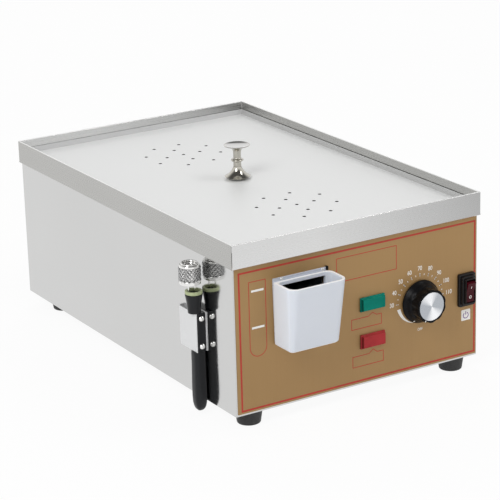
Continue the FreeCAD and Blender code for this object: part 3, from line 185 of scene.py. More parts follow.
def compute(tree, operation, *values):
    """Add one step of arithmetic."""
    return add(tree, "ShaderNodeMath", dict(enumerate(values)), operation=operation)


def spread(tree, value, low, high, first=0.0, last=1.0):
    """Bring a value from between two limits to between two others."""
    inputs = {"Value": value, "From Min": low, "From Max": high, "To Min": first, "To Max": last}
    return add(tree, "ShaderNodeMapRange", inputs)


def place_in(tree):
    """Give the place on the object."""
    return add(tree, "ShaderNodeTexCoord", output="Object")


def axes_of(tree, vector):
    """Give the three parts of a vector."""
    return add(tree, "ShaderNodeSeparateXYZ", {"Vector": vector}).node.outputs


def streaks_group(name):
    """Build grain drawn out along one way, as brushing leaves it."""
    tree, ends, out = start_group(name, "Shader", Vector="Vector, Grain", Float="Contrast")
    drawn = add(tree, "ShaderNodeVectorMath", {0: ends["Vector"], 1: ends["Grain"]}, operation="MULTIPLY")
    noise = add(tree, "ShaderNodeTexNoise", {"Vector": drawn, "Scale": 1.0, "Detail": 4.0}, "Fac")
    low = compute(tree, "SUBTRACT", 0.5, ends["Contrast"])
    high = compute(tree, "ADD", 0.5, ends["Contrast"])
    feed(out, {"Mask": spread(tree, noise, low, high)})
    return tree


def clouding_group(name):
    """Build slow changes of tone over a surface."""
    tree, ends, out = start_group(name, "Shader", Vector="Vector", Float="Scale")
    inputs = {"Vector": ends["Vector"], "Scale": ends["Scale"], "Detail": 2.0}
    feed(out, {"Mask": spread(tree, add(tree, "ShaderNodeTexNoise", inputs, "Fac"), 0.32, 0.68)})
    return tree


def facing_group(name):
    """Build a mask of how far a surface faces along an axis, either way, used to paint light and shade by facing.
    """
    tree, ends, out = start_group(name, "Shader", Vector="Vector, Axis", Float="Low, High")
    share = add(tree, "ShaderNodeVectorMath", {0: ends["Vector"], 1: ends["Axis"]}, "Value",
                operation="DOT_PRODUCT")
    feed(out, {"Mask": spread(tree, compute(tree, "ABSOLUTE", share), ends["Low"], ends["High"])})
    return tree


def mask(tree, group, vector, **values):
    """Place a shared group in a material."""
    return add(tree, "ShaderNodeGroup", {"Vector": vector, **values}, "Mask", node_tree=shared_group(group))


def facing(tree, axis, low, high):
    """Place the mask of how far a surface faces along an axis."""
    normal = add(tree, "ShaderNodeNewGeometry", output="Normal")
    return mask(tree, "Facing", normal, Axis=axis, Low=low, High=high)


def blend(tree, factor, first, second):
    """Mix two colours, or colour outputs, by a mask."""
    ends = [value if isinstance(value, bpy.types.NodeSocket) else (*value, 1.0) for value in (first, second)]
    return add(tree, "ShaderNodeMix", {"Factor": factor, 6: ends[0], 7: ends[1]}, 2, data_type="RGBA")


def recolour(tree, *painted_tones):
    """Lay painted light and shade over a finish's own tone, each colour by a mask."""
    shader = tree.nodes["Principled BSDF"]
    for factor, painted_tone in painted_tones:
        below = shader.inputs["Base Color"].links[0].from_socket
        feed(shader, {"Base Color": blend(tree, factor, below, painted_tone)})


def emboss(tree, height, strength, distance):
    """Give a finish relief."""
    relief = add(tree, "ShaderNodeBump", {"Height": height, "Strength": strength, "Distance": distance})
    feed(tree.nodes["Principled BSDF"], {"Normal": relief})


def paint_rim_light_and_shade(tree):
    """Paint shade on the rim's front, darker to the right, and a painted highlight on its folded-over top, which
    faces up.
    """
    low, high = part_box("top_rim")
    # Painted shade across the front from left to right, and a painted highlight on faces that look up.
    along = spread(tree, axes_of(tree, place_in(tree))["X"], 0.35 * low.x, high.x)
    front = blend(tree, along, colours().rim_light, colours().rim_dark)
    recolour(tree, (facing(tree, Y, 0.4, 0.8), front), (facing(tree, Z, 0.35, 0.9), (0.93, 0.93, 0.92)))


def paint_plate_vent_shade(tree):
    """Paint the walls of the steam plate's vents near-black, as painted shade inside the holes."""
    reach = axes_of(tree, add(tree, "ShaderNodeVectorMath", {0: place_in(tree)}, operation="ABSOLUTE"))
    # Painted shade: vent walls, the faces near the plate's middle that don't look up, are made near-black.
    painted_vent_shade = facing(tree, Z, 0.97, 0.8)
    for axis, limit in (("X", 0.12), ("Y", 0.2)):
        painted_vent_shade = compute(tree, "MULTIPLY", painted_vent_shade, compute(tree, "LESS_THAN", reach[axis], limit))
    recolour(tree, (painted_vent_shade, (0.012, 0.012, 0.012)))


def cap_rings_and_painted_fan(tree):
    """Turn the dial's cap in fine rings, with a painted reflection: a fan of two tones about its axis."""
    place = add(tree, "ShaderNodeMapping", {"Vector": place_in(tree), "Location": -extent("dial_cap")[2]})
    rings = add(tree, "ShaderNodeTexWave", {"Vector": place, "Scale": 700.0, "Distortion": 1.5}, "Fac",
                wave_type="RINGS", rings_direction="Y", wave_profile="SIN")
    emboss(tree, rings, 0.35, 0.12 * MM)
    # Painted reflection: two darker wedges across the cap stand in for the highlight of spun metal.
    around = axes_of(tree, place)
    turn = compute(tree, "ARCTAN2", around["Z"], around["X"])
    wave = compute(tree, "COSINE", compute(tree, "MULTIPLY_ADD", turn, 2.0, -0.63))
    recolour(tree, (spread(tree, wave, -0.95, 0.3), (0.45, 0.475, 0.51)))


# Every finish: its tone, which clouds down to a share of itself (depth), the range of its roughness, its
# grain along each axis, the strength and height (mm) of its relief, and painted light and shade: other tones,
# or shares of its tone, for faces that look along an axis, and a step of its own that paints more of it
# Painted shade: the lenses' faces that look along X, their sides, are darkened to 0.4 of their tone.
LENS = dict(rough=(0.1, 0.2), grain=(1600, 5, 12), contrast=0.25, cloud=70.0, depth=0.8, bump=0.1,
            relief=0.06, gloss=0.08, faces=((X, 0.5, 0.9, 0.4),))
PRINT = dict(rough=(0.4, 0.55), grain=(300, 300, 300))
FINISHES = {
    "wall_steel": dict(
        base="wall", rough=(0.07, 0.13), metal=1.0, grain=(12, 12, 900), contrast=0.25, cloud=3.0,
        depth=0.97, bump=0.05, relief=0.02),
    "rim_steel": dict(
        base="rim", rough=(0.22, 0.34), metal=1.0, grain=(14, 14, 1400), contrast=0.22, cloud=4.0,
        depth=0.95, bump=0.06, relief=0.02, painted_light_touch=paint_rim_light_and_shade),
    "plate_steel": dict(
        base="plate", rough=(0.42, 0.52), metal=0.12, grain=(1100, 10, 40), contrast=0.25, cloud=3.0,
        depth=0.985, bump=0.03, relief=0.02, painted_light_touch=paint_plate_vent_shade,
        # Painted shade: the lip's faces that look along Y are darkened, and those that look along X darker still.
        faces=((Y, 0.4, 0.9, (0.62, 0.62, 0.62)), (X, 0.4, 0.9, (0.5, 0.5, 0.495)))),
    "clip_steel": dict(
        base=(0.74, 0.745, 0.75), rough=(0.34, 0.46), metal=0.4, grain=(900, 900, 15), contrast=0.22,
        cloud=20.0, depth=0.95, bump=0.05, relief=0.03),
    "tank_steel": dict(
        base=(0.56, 0.57, 0.58), rough=(0.28, 0.42), metal=1.0, grain=(60, 60, 900), cloud=6.0, depth=0.85,
        bump=0.1, relief=0.03),
    "chrome": dict(
        base=(0.86, 0.855, 0.84), rough=(0.04, 0.12), metal=1.0, grain=(90, 90, 90), cloud=40.0,
        depth=0.94),
    "mesh_steel": dict(
        base=(0.5, 0.5, 0.5), rough=(0.34, 0.46), metal=1.0, grain=(300, 300, 300), cloud=80.0, depth=0.7,
        bump=0.05, relief=0.03),
    "nickel": dict(
        base=(0.54, 0.52, 0.465), rough=(0.05, 0.12), metal=1.0, grain=(60, 60, 700), cloud=60.0, depth=0.9,
        # Painted highlight: faces that look up, the top of the knob's saucer, are made lighter.
        bump=0.04, relief=0.02, faces=((Z, 0.85, 0.98, (0.64, 0.635, 0.63)),)),
    "panel_gold": dict(
        base="panel", rough=(0.36, 0.5), metal=0.25, grain=(700, 700, 9), cloud=5.0, depth=0.92, bump=0.05,
        relief=0.02),
    "panel_red": dict(base="border", cloud=60.0, depth=0.88, **PRINT),
    "panel_white": dict(base="ink", cloud=90.0, depth=0.9, **PRINT),
    "sign_violet": dict(base="sign", cloud=90.0, depth=0.88, **PRINT),
    "plate_blue": dict(
        base=tone(200, 205, 217), rough=(0.25, 0.4), metal=0.15, grain=(40, 40, 400), cloud=20.0,
        depth=0.9),
    "box_white": dict(
        base="box", rough=(0.3, 0.42), grain=(500, 500, 500), cloud=14.0, depth=0.97, bump=0.04,
        relief=0.05, gloss=0.3,
        # Painted light: faces that look along X, the box's sides, are made lighter and bluer, and faces that look
        # up, its lip, near white.
        faces=((X, 0.88, 0.99, (0.81, 0.87, 0.97)), (Z, 0.3, 0.7, (0.96, 0.965, 0.97))),
        more={"Subsurface Weight": 0.25, "Subsurface Radius": (0.004, 0.004, 0.0045),
              "Subsurface Scale": 1.0}),
    "black_gloss": dict(
        base=(0.006, 0.006, 0.007), rough=(0.26, 0.34), grain=(400, 400, 400), cloud=40.0, depth=0.7,
        bump=0.03, relief=0.03, gloss=0.1),
    "grip_black": dict(
        base=(0.007, 0.008, 0.01), rough=(0.26, 0.42), grain=(900, 900, 900), cloud=40.0, depth=0.75,
        bump=0.08, relief=0.04, gloss=0.3),
    "black_rubber": dict(
        base=(0.02, 0.02, 0.02), rough=(0.5, 0.7), grain=(700, 700, 700), cloud=60.0, depth=0.75, bump=0.12,
        relief=0.05),
    "boot_black": dict(
        base=(0.007, 0.006, 0.007), rough=(0.26, 0.4), grain=(700, 700, 700), cloud=60.0, depth=0.75,
        bump=0.06, relief=0.04, gloss=0.28),
    "brass": dict(
        base=(0.7, 0.51, 0.24), rough=(0.18, 0.34), metal=1.0, grain=(200, 900, 200), cloud=50.0,
        depth=0.85, bump=0.06, relief=0.03),
    "heater_steel": dict(
        base=(0.42, 0.4, 0.38), rough=(0.3, 0.46), metal=1.0, grain=(90, 25, 90), cloud=18.0, depth=0.6,
        bump=0.1, relief=0.04),
    "grey_plastic": dict(
        base=(0.5, 0.5, 0.48), rough=(0.4, 0.55), grain=(600, 600, 600), cloud=30.0, depth=0.85, bump=0.08,
        relief=0.04),
    "olive_plastic": dict(
        base=(0.46, 0.52, 0.29), rough=(0.3, 0.48), grain=(600, 600, 600), cloud=90.0, depth=0.8, bump=0.06,
        relief=0.04),
    "rocker_red": dict(
        base="rocker", rough=(0.14, 0.26), grain=(500, 500, 500), cloud=70.0, depth=0.75, bump=0.03,
        relief=0.03, gloss=0.12),
    "lens_green": dict(base="green", **LENS),
    "lens_red": dict(base="red", **LENS),
    "spun_aluminium": dict(
        base=(0.95, 0.96, 0.98), rough=(0.2, 0.3), metal=1.0, grain=(60, 60, 60), cloud=40.0, depth=0.95,
        painted_light_touch=cap_rings_and_painted_fan),
}
SLOT_FINISHES = {"steel": "wall_steel", "fascia": "panel_gold", "black_plastic": "black_gloss",
                 "aluminium": "spun_aluminium"}
NODE_FINISHES = {"top_rim": "rim_steel", "lid_pan": "plate_steel", "side_clip": "clip_steel"}


def make_finish(label, base, rough, grain, cloud, depth, metal=0.0, contrast=0.2, bump=0.0, relief=0.0,
                gloss=0.5, faces=(), more=None, painted_light_touch=None):
    """Make a finish: a tone that clouds slowly, and grain in its gloss and relief."""
    material = bpy.data.materials.new(label)
    material.use_nodes = True
    tree = material.node_tree
    if isinstance(base, str):
        base = getattr(colours(), base)
    place = place_in(tree)
    clouds = mask(tree, "Clouding", place, Scale=cloud)
    streaks = mask(tree, "Streaks", place, Grain=grain, Contrast=contrast)
    feed(tree.nodes["Principled BSDF"], {
        "Base Color": blend(tree, clouds, [c * depth for c in base], base),
        "Roughness": spread(tree, streaks, 0.0, 1.0, *rough), "Metallic": metal, "Specular IOR Level": gloss,
        **(more or {})})
    if bump:
        emboss(tree, streaks, bump, relief * MM)
    # Painted light and shade: faces that look along an axis get another tone.
    for axis, low, high, painted_tone in faces:
        if isinstance(painted_tone, float):
            painted_tone = [c * painted_tone for c in base]
        recolour(tree, (facing(tree, axis, low, high), painted_tone))
    # A finish's own step of painted light and shade.
    if painted_light_touch:
        painted_light_touch(tree)
    return material


def finish(name):
    """Give a finish by its name, made the first time."""
    label = f"{name}_finish"
    return bpy.data.materials.get(label) or make_finish(label, **FINISHES[name])


# Shaping

def extent(node):
    """Give the low and high corners of a CAD node, its middle and its half sizes."""
    low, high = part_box(node)
    return low, high, (low + high) / 2, (high - low) / 2


def foot_of(node):
    """Give the middle of a CAD node's underside."""
    low, _, middle, _ = extent(node)
    return Vector((middle.x, middle.y, low.z))


def panel_plane():
    """Give the front face of the control panel, with the print's level at its origin."""
    low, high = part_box("fascia")
    return Vector((0.0, low.y, high.z - PRINT_DROP)), X, Z


def turn_to(axes):
    """Give the turn that brings X, Y and Z to three axes."""
    return Matrix(axes).transposed().to_4x4()


def soften(points, radius, steps=4, closed=False):
    """Round the corners of a line of points."""
    result = []
    count = len(points)
    for i, point in enumerate(points):
        point = Vector(point)
        if not closed and i in (0, count - 1):
            result.append(point)
            continue
        before = Vector(points[i - 1]) - point
        after = Vector(points[(i + 1) % count]) - point
        reach = min(radius, before.length * 0.49, after.length * 0.49)
        first = point + before.normalized() * reach
        last = point + after.normalized() * reach
        for step in range(steps + 1):
            t = step / steps
            result.append(first * (1 - t) ** 2 + point * 2 * t * (1 - t) + last * t**2)
    return result


def flow(points, steps=6):
    """Draw a smooth line through points."""
    points = [Vector(point) for point in points]
    ends = [2 * points[0] - points[1], *points, 2 * points[-1] - points[-2]]
    result = []
    for a, b, c, d in zip(ends, ends[1:], ends[2:], ends[3:]):
        for step in range(steps):
            t = step / steps
            result.append(0.5 * (2 * b + (c - a) * t + (2 * a - 5 * b + 4 * c - d) * t**2
                                 + (3 * b - a - 3 * c + d) * t**3))
    return [*result, points[-1]]


def skin(bm, rows, closed=False):
    """Join rows of points with faces, each to the next; a row of one point is a pole."""
    for first, second in zip(rows, rows[1:] + rows[:1] if closed else rows[1:]):
        count = max(len(first), len(second))
        for i in range(count):
            j = (i + 1) % count
            if len(first) == 1:
                bm.faces.new((first[0], second[j], second[i]))
            elif len(second) == 1:
                bm.faces.new((first[i], first[j], second[0]))
            else:
                bm.faces.new((first[i], first[j], second[j], second[i]))


def lathe(profile, centre, axes=UPWARD, steps=64, swell=None, closed=False, bm=None):
    """Turn a profile of (radius, height) about an axis through the centre."""
    bm = bm or bmesh.new()
    rows = []
    for radius, height in profile:
        middle = centre + axes[2] * height
        if radius < 1e-7:
            rows.append([bm.verts.new(middle)])
            continue
        row = []
        for i in range(steps):
            angle = math.tau * i / steps
            way = axes[0] * math.cos(angle) + axes[1] * math.sin(angle)
            row.append(bm.verts.new(middle + way * (swell(radius, height, angle) if swell else radius)))
        rows.append(row)
    skin(bm, rows, closed)
    return bm


def loft(rows, bm=None):
    """Close a skin over rows of points, with a flat face at each end."""
    bm = bm or bmesh.new()
    rows = [[bm.verts.new(point) for point in row] for row in rows]
    skin(bm, rows)
    bm.faces.new(reversed(rows[0]))
    bm.faces.new(rows[-1])
    return bm


def on_plane(plane, right, up, lift=0.0):
    """Give the point of a plane (origin, right, up), lifted off its face."""
    origin, across, along = plane
    return origin + across * right + along * up + across.cross(along) * lift


def add_plate(bm, plane, outline, thickness):
    """Add a flat plate with an outline of (right, up) on a plane."""
    return loft([[on_plane(plane, *point, lift) for point in outline] for lift in (0.0, thickness)], bm)


def add_ribbon(bm, plane, points, width, thickness, closed=True):
    """Add a flat line along points on a plane."""
    points = [Vector(point) for point in points]
    count = len(points)
    rows = []
    for i, point in enumerate(points):
        onward = points[(i + 1) % count] - point if closed or i < count - 1 else point - points[i - 1]
        before = point - points[i - 1] if closed or i else onward
        sides = [Vector((-way.y, way.x)).normalized() for way in (before, onward)]
        side = (sides[0] + sides[1]) / (1 + sides[0].dot(sides[1])) * width / 2
        rows.append([on_plane(plane, *(point + side * way), lift)
                     for way, lift in ((1, 0.0), (-1, 0.0), (-1, thickness), (1, thickness))])
    if closed:
        skin(bm, [[bm.verts.new(point) for point in row] for row in rows], True)
    else:
        loft(rows, bm)


def box_outline(left, right, low, high):
    """Give a rectangle's corners."""
    return [(left, low), (right, low), (right, high), (left, high)]


def arc_points(radius, first, last, steps, centre=(0.0, 0.0)):
    """Give points along an arc; angles are in degrees."""
    turns = [math.radians(first + (last - first) * i / steps) for i in range(steps + 1)]
    return [(centre[0] + radius * math.cos(turn), centre[1] + radius * math.sin(turn)) for turn in turns]


def add_object(bm, item, place=Matrix.Identity(4)):
    """Add the mesh of a curve, text or other object, and remove the object."""
    bpy.context.scene.collection.objects.link(item)
    ready = bpy.context.evaluated_depsgraph_get()
    mesh = bpy.data.meshes.new_from_object(item.evaluated_get(ready), depsgraph=ready)
    mesh.transform(place)
    bm.from_mesh(mesh)
    bpy.data.meshes.remove(mesh)
    bpy.data.objects.remove(item)


def add_wire(bm, points, radius):
    """Add a round wire along a smooth line."""
    curve = bpy.data.curves.new("wire", "CURVE")
    curve.dimensions = "3D"
    curve.bevel_depth = radius
    curve.bevel_resolution = 3
    curve.resolution_u = 10
    curve.use_fill_caps = True
    spline = curve.splines.new("NURBS")
    spline.points.add(len(points) - 1)
    for target, point in zip(spline.points, points):
        target.co = (*point, 1.0)
    spline.order_u = 3
    spline.use_endpoint_u = True
    add_object(bm, bpy.data.objects.new("wire", curve))


def add_text(bm, text, size, thickness, plane, right, up, narrow):
    """Add flat bold type, centred on a point of a plane."""
    curve = bpy.data.curves.new("type", "FONT")
    curve.body = text
    curve.size = size
    curve.offset = 0.009 * size
    curve.extrude = thickness / 2
    curve.align_x = "CENTER"
    curve.align_y = "CENTER"
    across, along = plane[1:]
    turn = turn_to((across * narrow, along, across.cross(along)))
    place = Matrix.Translation(on_plane(plane, right, up, thickness / 2))
    add_object(bm, bpy.data.objects.new("type", curve), place @ turn)


def solid(bm, name):
    """Turn a shape into an object with its faces outward."""
    bmesh.ops.recalc_face_normals(bm, faces=bm.faces)
    mesh = bpy.data.meshes.new(name)
    bm.to_mesh(mesh)
    bm.free()
    return bpy.data.objects.new(name, mesh)


def cut_out(bm, tool):
    """Take one shape out of another."""
    body = solid(bm, "body")
    cutter = solid(tool, "cutter")
    bpy.context.scene.collection.objects.link(cutter)
    cut = body.modifiers.new("Cut", "BOOLEAN")
    cut.object = cutter
    cut.operation = "DIFFERENCE"
    cut.solver = "EXACT"
    result = bmesh.new()
    add_object(result, body)
    bpy.data.objects.remove(cutter)
    return result


def make_piece(name, shape, finish_name, body, node=None, sharp=35, even=False):
    """Turn a shape into a finished piece that moves with a body and may stand for a CAD node."""
    if isinstance(shape, bmesh.types.BMesh):
        bmesh.ops.remove_doubles(shape, verts=shape.verts, dist=1e-7)
        piece = solid(shape, name)
    else:
        shape.name = name
        piece = bpy.data.objects.new(name, shape)
    piece.data.materials.clear()
    piece.data.materials.append(finish(finish_name))
    piece.data.shade_smooth()
    piece.data.set_sharp_from_angle(angle=math.radians(sharp))
    bpy.context.scene.collection.objects.link(piece)
    if even:
        piece.modifiers.new("Even shading", "WEIGHTED_NORMAL").keep_sharp = True
    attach(piece, body)
    if node:
        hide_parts(node)


def round_off(name, node, finish_name, body, rounding, segments=3):
    """Make a piece from a CAD node with its edges rounded over."""
    bm = bmesh.new()
    bm.from_mesh(frame["nodes"][node].data)
    bmesh.ops.remove_doubles(bm, verts=bm.verts, dist=1e-6)
    bmesh.ops.dissolve_limit(bm, angle_limit=math.radians(0.5), verts=bm.verts, edges=bm.edges)
    sharp = [edge for edge in bm.edges if len(edge.link_faces) == 2 and edge.calc_face_angle() > SHARP_EDGE]
    bmesh.ops.bevel(bm, geom=sharp, offset=rounding, offset_type="OFFSET", segments=segments, profile=0.5,
                    affect="EDGES", clamp_overlap=True)
    make_piece(name, bm, finish_name, body, node, even=True)


# Geometry node trees

def end_tree(tree, ends, out, points, instance, **more):
    """Set instances on points, and end a tree with real geometry in its material."""
    copies = add(tree, "GeometryNodeInstanceOnPoints", {"Points": points, "Instance": instance, **more})
    real = add(tree, "GeometryNodeRealizeInstances", {"Geometry": copies})
    coat = add(tree, "GeometryNodeSetMaterial", {"Geometry": real, "Material": ends["Material"]})
    feed(out, {"Geometry": coat})
    return tree


def turned(tree, angle):
    """Give the turn by an angle about Z."""
    angles = add(tree, "ShaderNodeCombineXYZ", {"Z": angle})
    return add(tree, "FunctionNodeEulerToRotation", {"Euler": angles})


def tick_tree(name):
    """Build bars along an arc, each pointing away from its centre."""
    tree, ends, out = start_group(name, "Geometry", Float="Radius, Start, Sweep, Length, Width, Thickness",
                                  Int="Count", Material="Material")
    arc = add(tree, "GeometryNodeCurveArc", {"Radius": ends["Radius"], "Start Angle": ends["Start"],
                                             "Sweep Angle": ends["Sweep"], "Resolution": ends["Count"]})
    size = add(tree, "ShaderNodeCombineXYZ", {0: ends["Length"], 1: ends["Width"], 2: ends["Thickness"]})
    bar = add(tree, "GeometryNodeMeshCube", {"Size": size})
    turn = add(tree, "FunctionNodeAlignRotationToVector", {"Vector": add(tree, "GeometryNodeInputPosition")},
               axis="X", pivot_axis="Z")
    return end_tree(tree, ends, out, arc, bar, Rotation=turn)


def winding_tree(name):
    """Build wires wound round a drum, evenly spaced."""
    tree, ends, out = start_group(name, "Geometry", Int="Count", Float="Radius, Height, Turns, Wire",
                                  Bool="Reverse", Material="Material")
    spiral = add(tree, "GeometryNodeCurveSpiral", {
        "Resolution": 48, "Start Radius": ends["Radius"], "End Radius": ends["Radius"],
        "Height": ends["Height"], "Rotations": ends["Turns"], "Reverse": ends["Reverse"]})
    section = add(tree, "GeometryNodeCurvePrimitiveCircle", {"Resolution": 8, "Radius": ends["Wire"]})
    inputs = {"Curve": spiral, "Profile Curve": section, "Fill Caps": True}
    wire = add(tree, "GeometryNodeCurveToMesh", inputs)
    points = add(tree, "GeometryNodePoints", {"Count": ends["Count"]})
    share = compute(tree, "DIVIDE", add(tree, "GeometryNodeInputIndex"), ends["Count"])
    turn = turned(tree, compute(tree, "MULTIPLY", share, math.tau))
    return end_tree(tree, ends, out, points, wire, Rotation=turn)


def rod_tree(name):
    """Build rods that stand round a ring."""
    tree, ends, out = start_group(name, "Geometry", Int="Count", Float="Ring radius, Rod radius, Height",
                                  Material="Material")
    inputs = {"Resolution": ends["Count"], "Radius": ends["Ring radius"]}
    ring = add(tree, "GeometryNodeCurvePrimitiveCircle", inputs)
    inputs = {"Vertices": 12, "Radius": ends["Rod radius"], "Depth": ends["Height"]}
    rod = add(tree, "GeometryNodeMeshCylinder", inputs)
    return end_tree(tree, ends, out, ring, rod)


def fastener_tree(name):
    """Build copies of one pattern on points, each turned its own way."""
    tree, ends, out = start_group(name, "Geometry", Geometry="Points", Object="Pattern",
                                  Float="Diameter, Turn", Int="Seed", Material="Material")
    pattern = add(tree, "GeometryNodeObjectInfo", {"Object": ends["Pattern"]}, "Geometry")
    inputs = {3: ends["Turn"], "Seed": ends["Seed"]}
    angle = add(tree, "FunctionNodeRandomValue", inputs, 1, data_type="FLOAT")
    return end_tree(tree, ends, out, ends["Points"], pattern, Rotation=turned(tree, angle),
                    Scale=ends["Diameter"])


GROUPS = {"Streaks": streaks_group, "Clouding": clouding_group, "Facing": facing_group,
          "Scale ticks": tick_tree, "Wound wires": winding_tree, "Rods round a ring": rod_tree,
          "Fasteners": fastener_tree}


def grow(name, finish_name, values, points=()):
    """Run a tree on points and give its result as a plain mesh."""
    tree = shared_group(name)
    values = {**values, "Material": finish(finish_name)}
    mesh = bpy.data.meshes.new("seed")
    mesh.from_pydata([tuple(point) for point in points], [], [])
    host = bpy.data.objects.new("seed", mesh)
    bpy.context.scene.collection.objects.link(host)
    modifier = host.modifiers.new("Nodes", "NODES")
    modifier.node_group = tree
    for socket in tree.interface.items_tree:
        if socket.in_out == "INPUT" and socket.name in values:
            modifier[socket.identifier] = values[socket.name]
    ready = bpy.context.evaluated_depsgraph_get()
    result = bpy.data.meshes.new_from_object(host.evaluated_get(ready), depsgraph=ready)
    if not result.polygons:
        raise RuntimeError(f"The tree {name} gave nothing")
    host.modifiers.remove(modifier)
    bpy.data.objects.remove(host)
    return result


# Operators

class STEAMER_OT_finishes(bpy.types.Operator):
    """Give every CAD node the finish of its material slot"""

    bl_idname = "steamer.finishes"
    bl_label = "Finishes"

    def execute(self, context):
        for row in frame["record"]["subparts"]:
            slot = row["material_slot"]
            name = NODE_FINISHES.get(row["node"]) or SLOT_FINISHES.get(slot, slot)
            mesh = frame["nodes"][row["node"]].data
            mesh.materials.clear()
            mesh.materials.append(finish(name))
        return {"FINISHED"}


class STEAMER_OT_rim(bpy.types.Operator):
    """Build the rim from four folded sides with open seams at the corners"""

    bl_idname = "steamer.rim"
    bl_label = "Top rim"

    def execute(self, context):
        low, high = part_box("top_rim")
        plate_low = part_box("lid_pan")[0].z
        skirt, hem, bead, inset = mm(1.0, 2.4, 0.45, 0.3)
        seam = sizes().rim_seam
        top = soften([(inset, low.z + 3 * bead), (inset, high.z), (hem, high.z), (hem, plate_low)],
                     sizes().rim_round, 5)
        profile = [(bead, low.z), (0.0, low.z + bead), (0.0, low.z + 2 * bead), *top, (skirt, plate_low),
                   (skirt, low.z)]
        bm = bmesh.new()
        corners = [Vector(corner) for corner in box_outline(low.x, high.x, low.y, high.y)]
        for start, end in zip(corners, corners[1:] + corners[:1]):
            way = (end - start).normalized()
            inward = Vector((-way.y, way.x))
            loft([[Vector((*(corner + inward * depth + way * sign * (depth + seam)), height))
                   for depth, height in profile] for corner, sign in ((start, 1), (end, -1))], bm)
        make_piece("rim_sides", bm, "rim_steel", "cabinet", "top_rim")
        return {"FINISHED"}


class STEAMER_OT_walls(bpy.types.Operator):
    """Break the edges of the folded walls and of the control panel"""

    bl_idname = "steamer.walls"
    bl_label = "Walls"

    def execute(self, context):
        for name, node in (("wall_left", "side_panel_left"), ("wall_right", "side_panel_right"),
                           ("wall_back", "back_panel")):
            round_off(name, node, "wall_steel", "cabinet", rounding=0.3 * MM, segments=2)
        round_off("panel_face", "fascia", "panel_gold", "cabinet", rounding=0.3 * MM, segments=2)
        return {"FINISHED"}


class STEAMER_OT_plate(bpy.types.Operator):
    """Break the edges of the steam plate, its lip and its vents"""

    bl_idname = "steamer.plate"
    bl_label = "Steam plate"

    def execute(self, context):
        round_off("steam_plate", "lid_pan", "plate_steel", "lid", rounding=0.25 * MM, segments=2)
        return {"FINISHED"}


class STEAMER_OT_lid_knob(bpy.types.Operator):
    """Turn the plated knob of the steam plate"""

    bl_idname = "steamer.lid_knob"
    bl_label = "Lid knob"

    def execute(self, context):
        half = extent("lid_knob")[3]
        radius = half.x
        height = 2 * half.z
        stem = 4.2 * MM
        foot = flow([*scaled(radius, MM, (0.99, 3.1), (0.76, 5.2), (0.55, 8.0), (0.39, 11.2)),
                     (stem + 0.3 * MM, 14 * MM), (stem, 17 * MM)])
        ring = flow([(stem + 0.2 * MM, 19.2 * MM), *scaled(stem, MM, (1.5, 20.2), (1.65, 21.2), (1.5, 22.2)),
                     (stem + 0.2 * MM, 23.2 * MM)])
        bowl = flow([(stem, 23.8 * MM), (stem, 29 * MM), (stem + 0.6 * MM, 32 * MM),
                     *scaled(radius, MM, (0.52, 34.6), (0.83, 36.5), (0.98, 37.4), (1.0, 37.8))])
        crown = flow([(share * radius, height - drop * MM) for share, drop in (
            (0.985, 0.0), (0.94, 0.3), (0.75, 1.1), (0.45, 1.7), (0.2, 1.9), (0.0, 1.95))])
        profile = [(0.0, 0.0), (0.6 * radius, 0.0), (0.98 * radius, 2.9 * MM), *foot, *ring, *bowl, *crown]
        make_piece("knob_turning", lathe(profile, foot_of("lid_knob"), steps=96), "nickel", "lid",
                   "lid_knob", sharp=50)
        return {"FINISHED"}


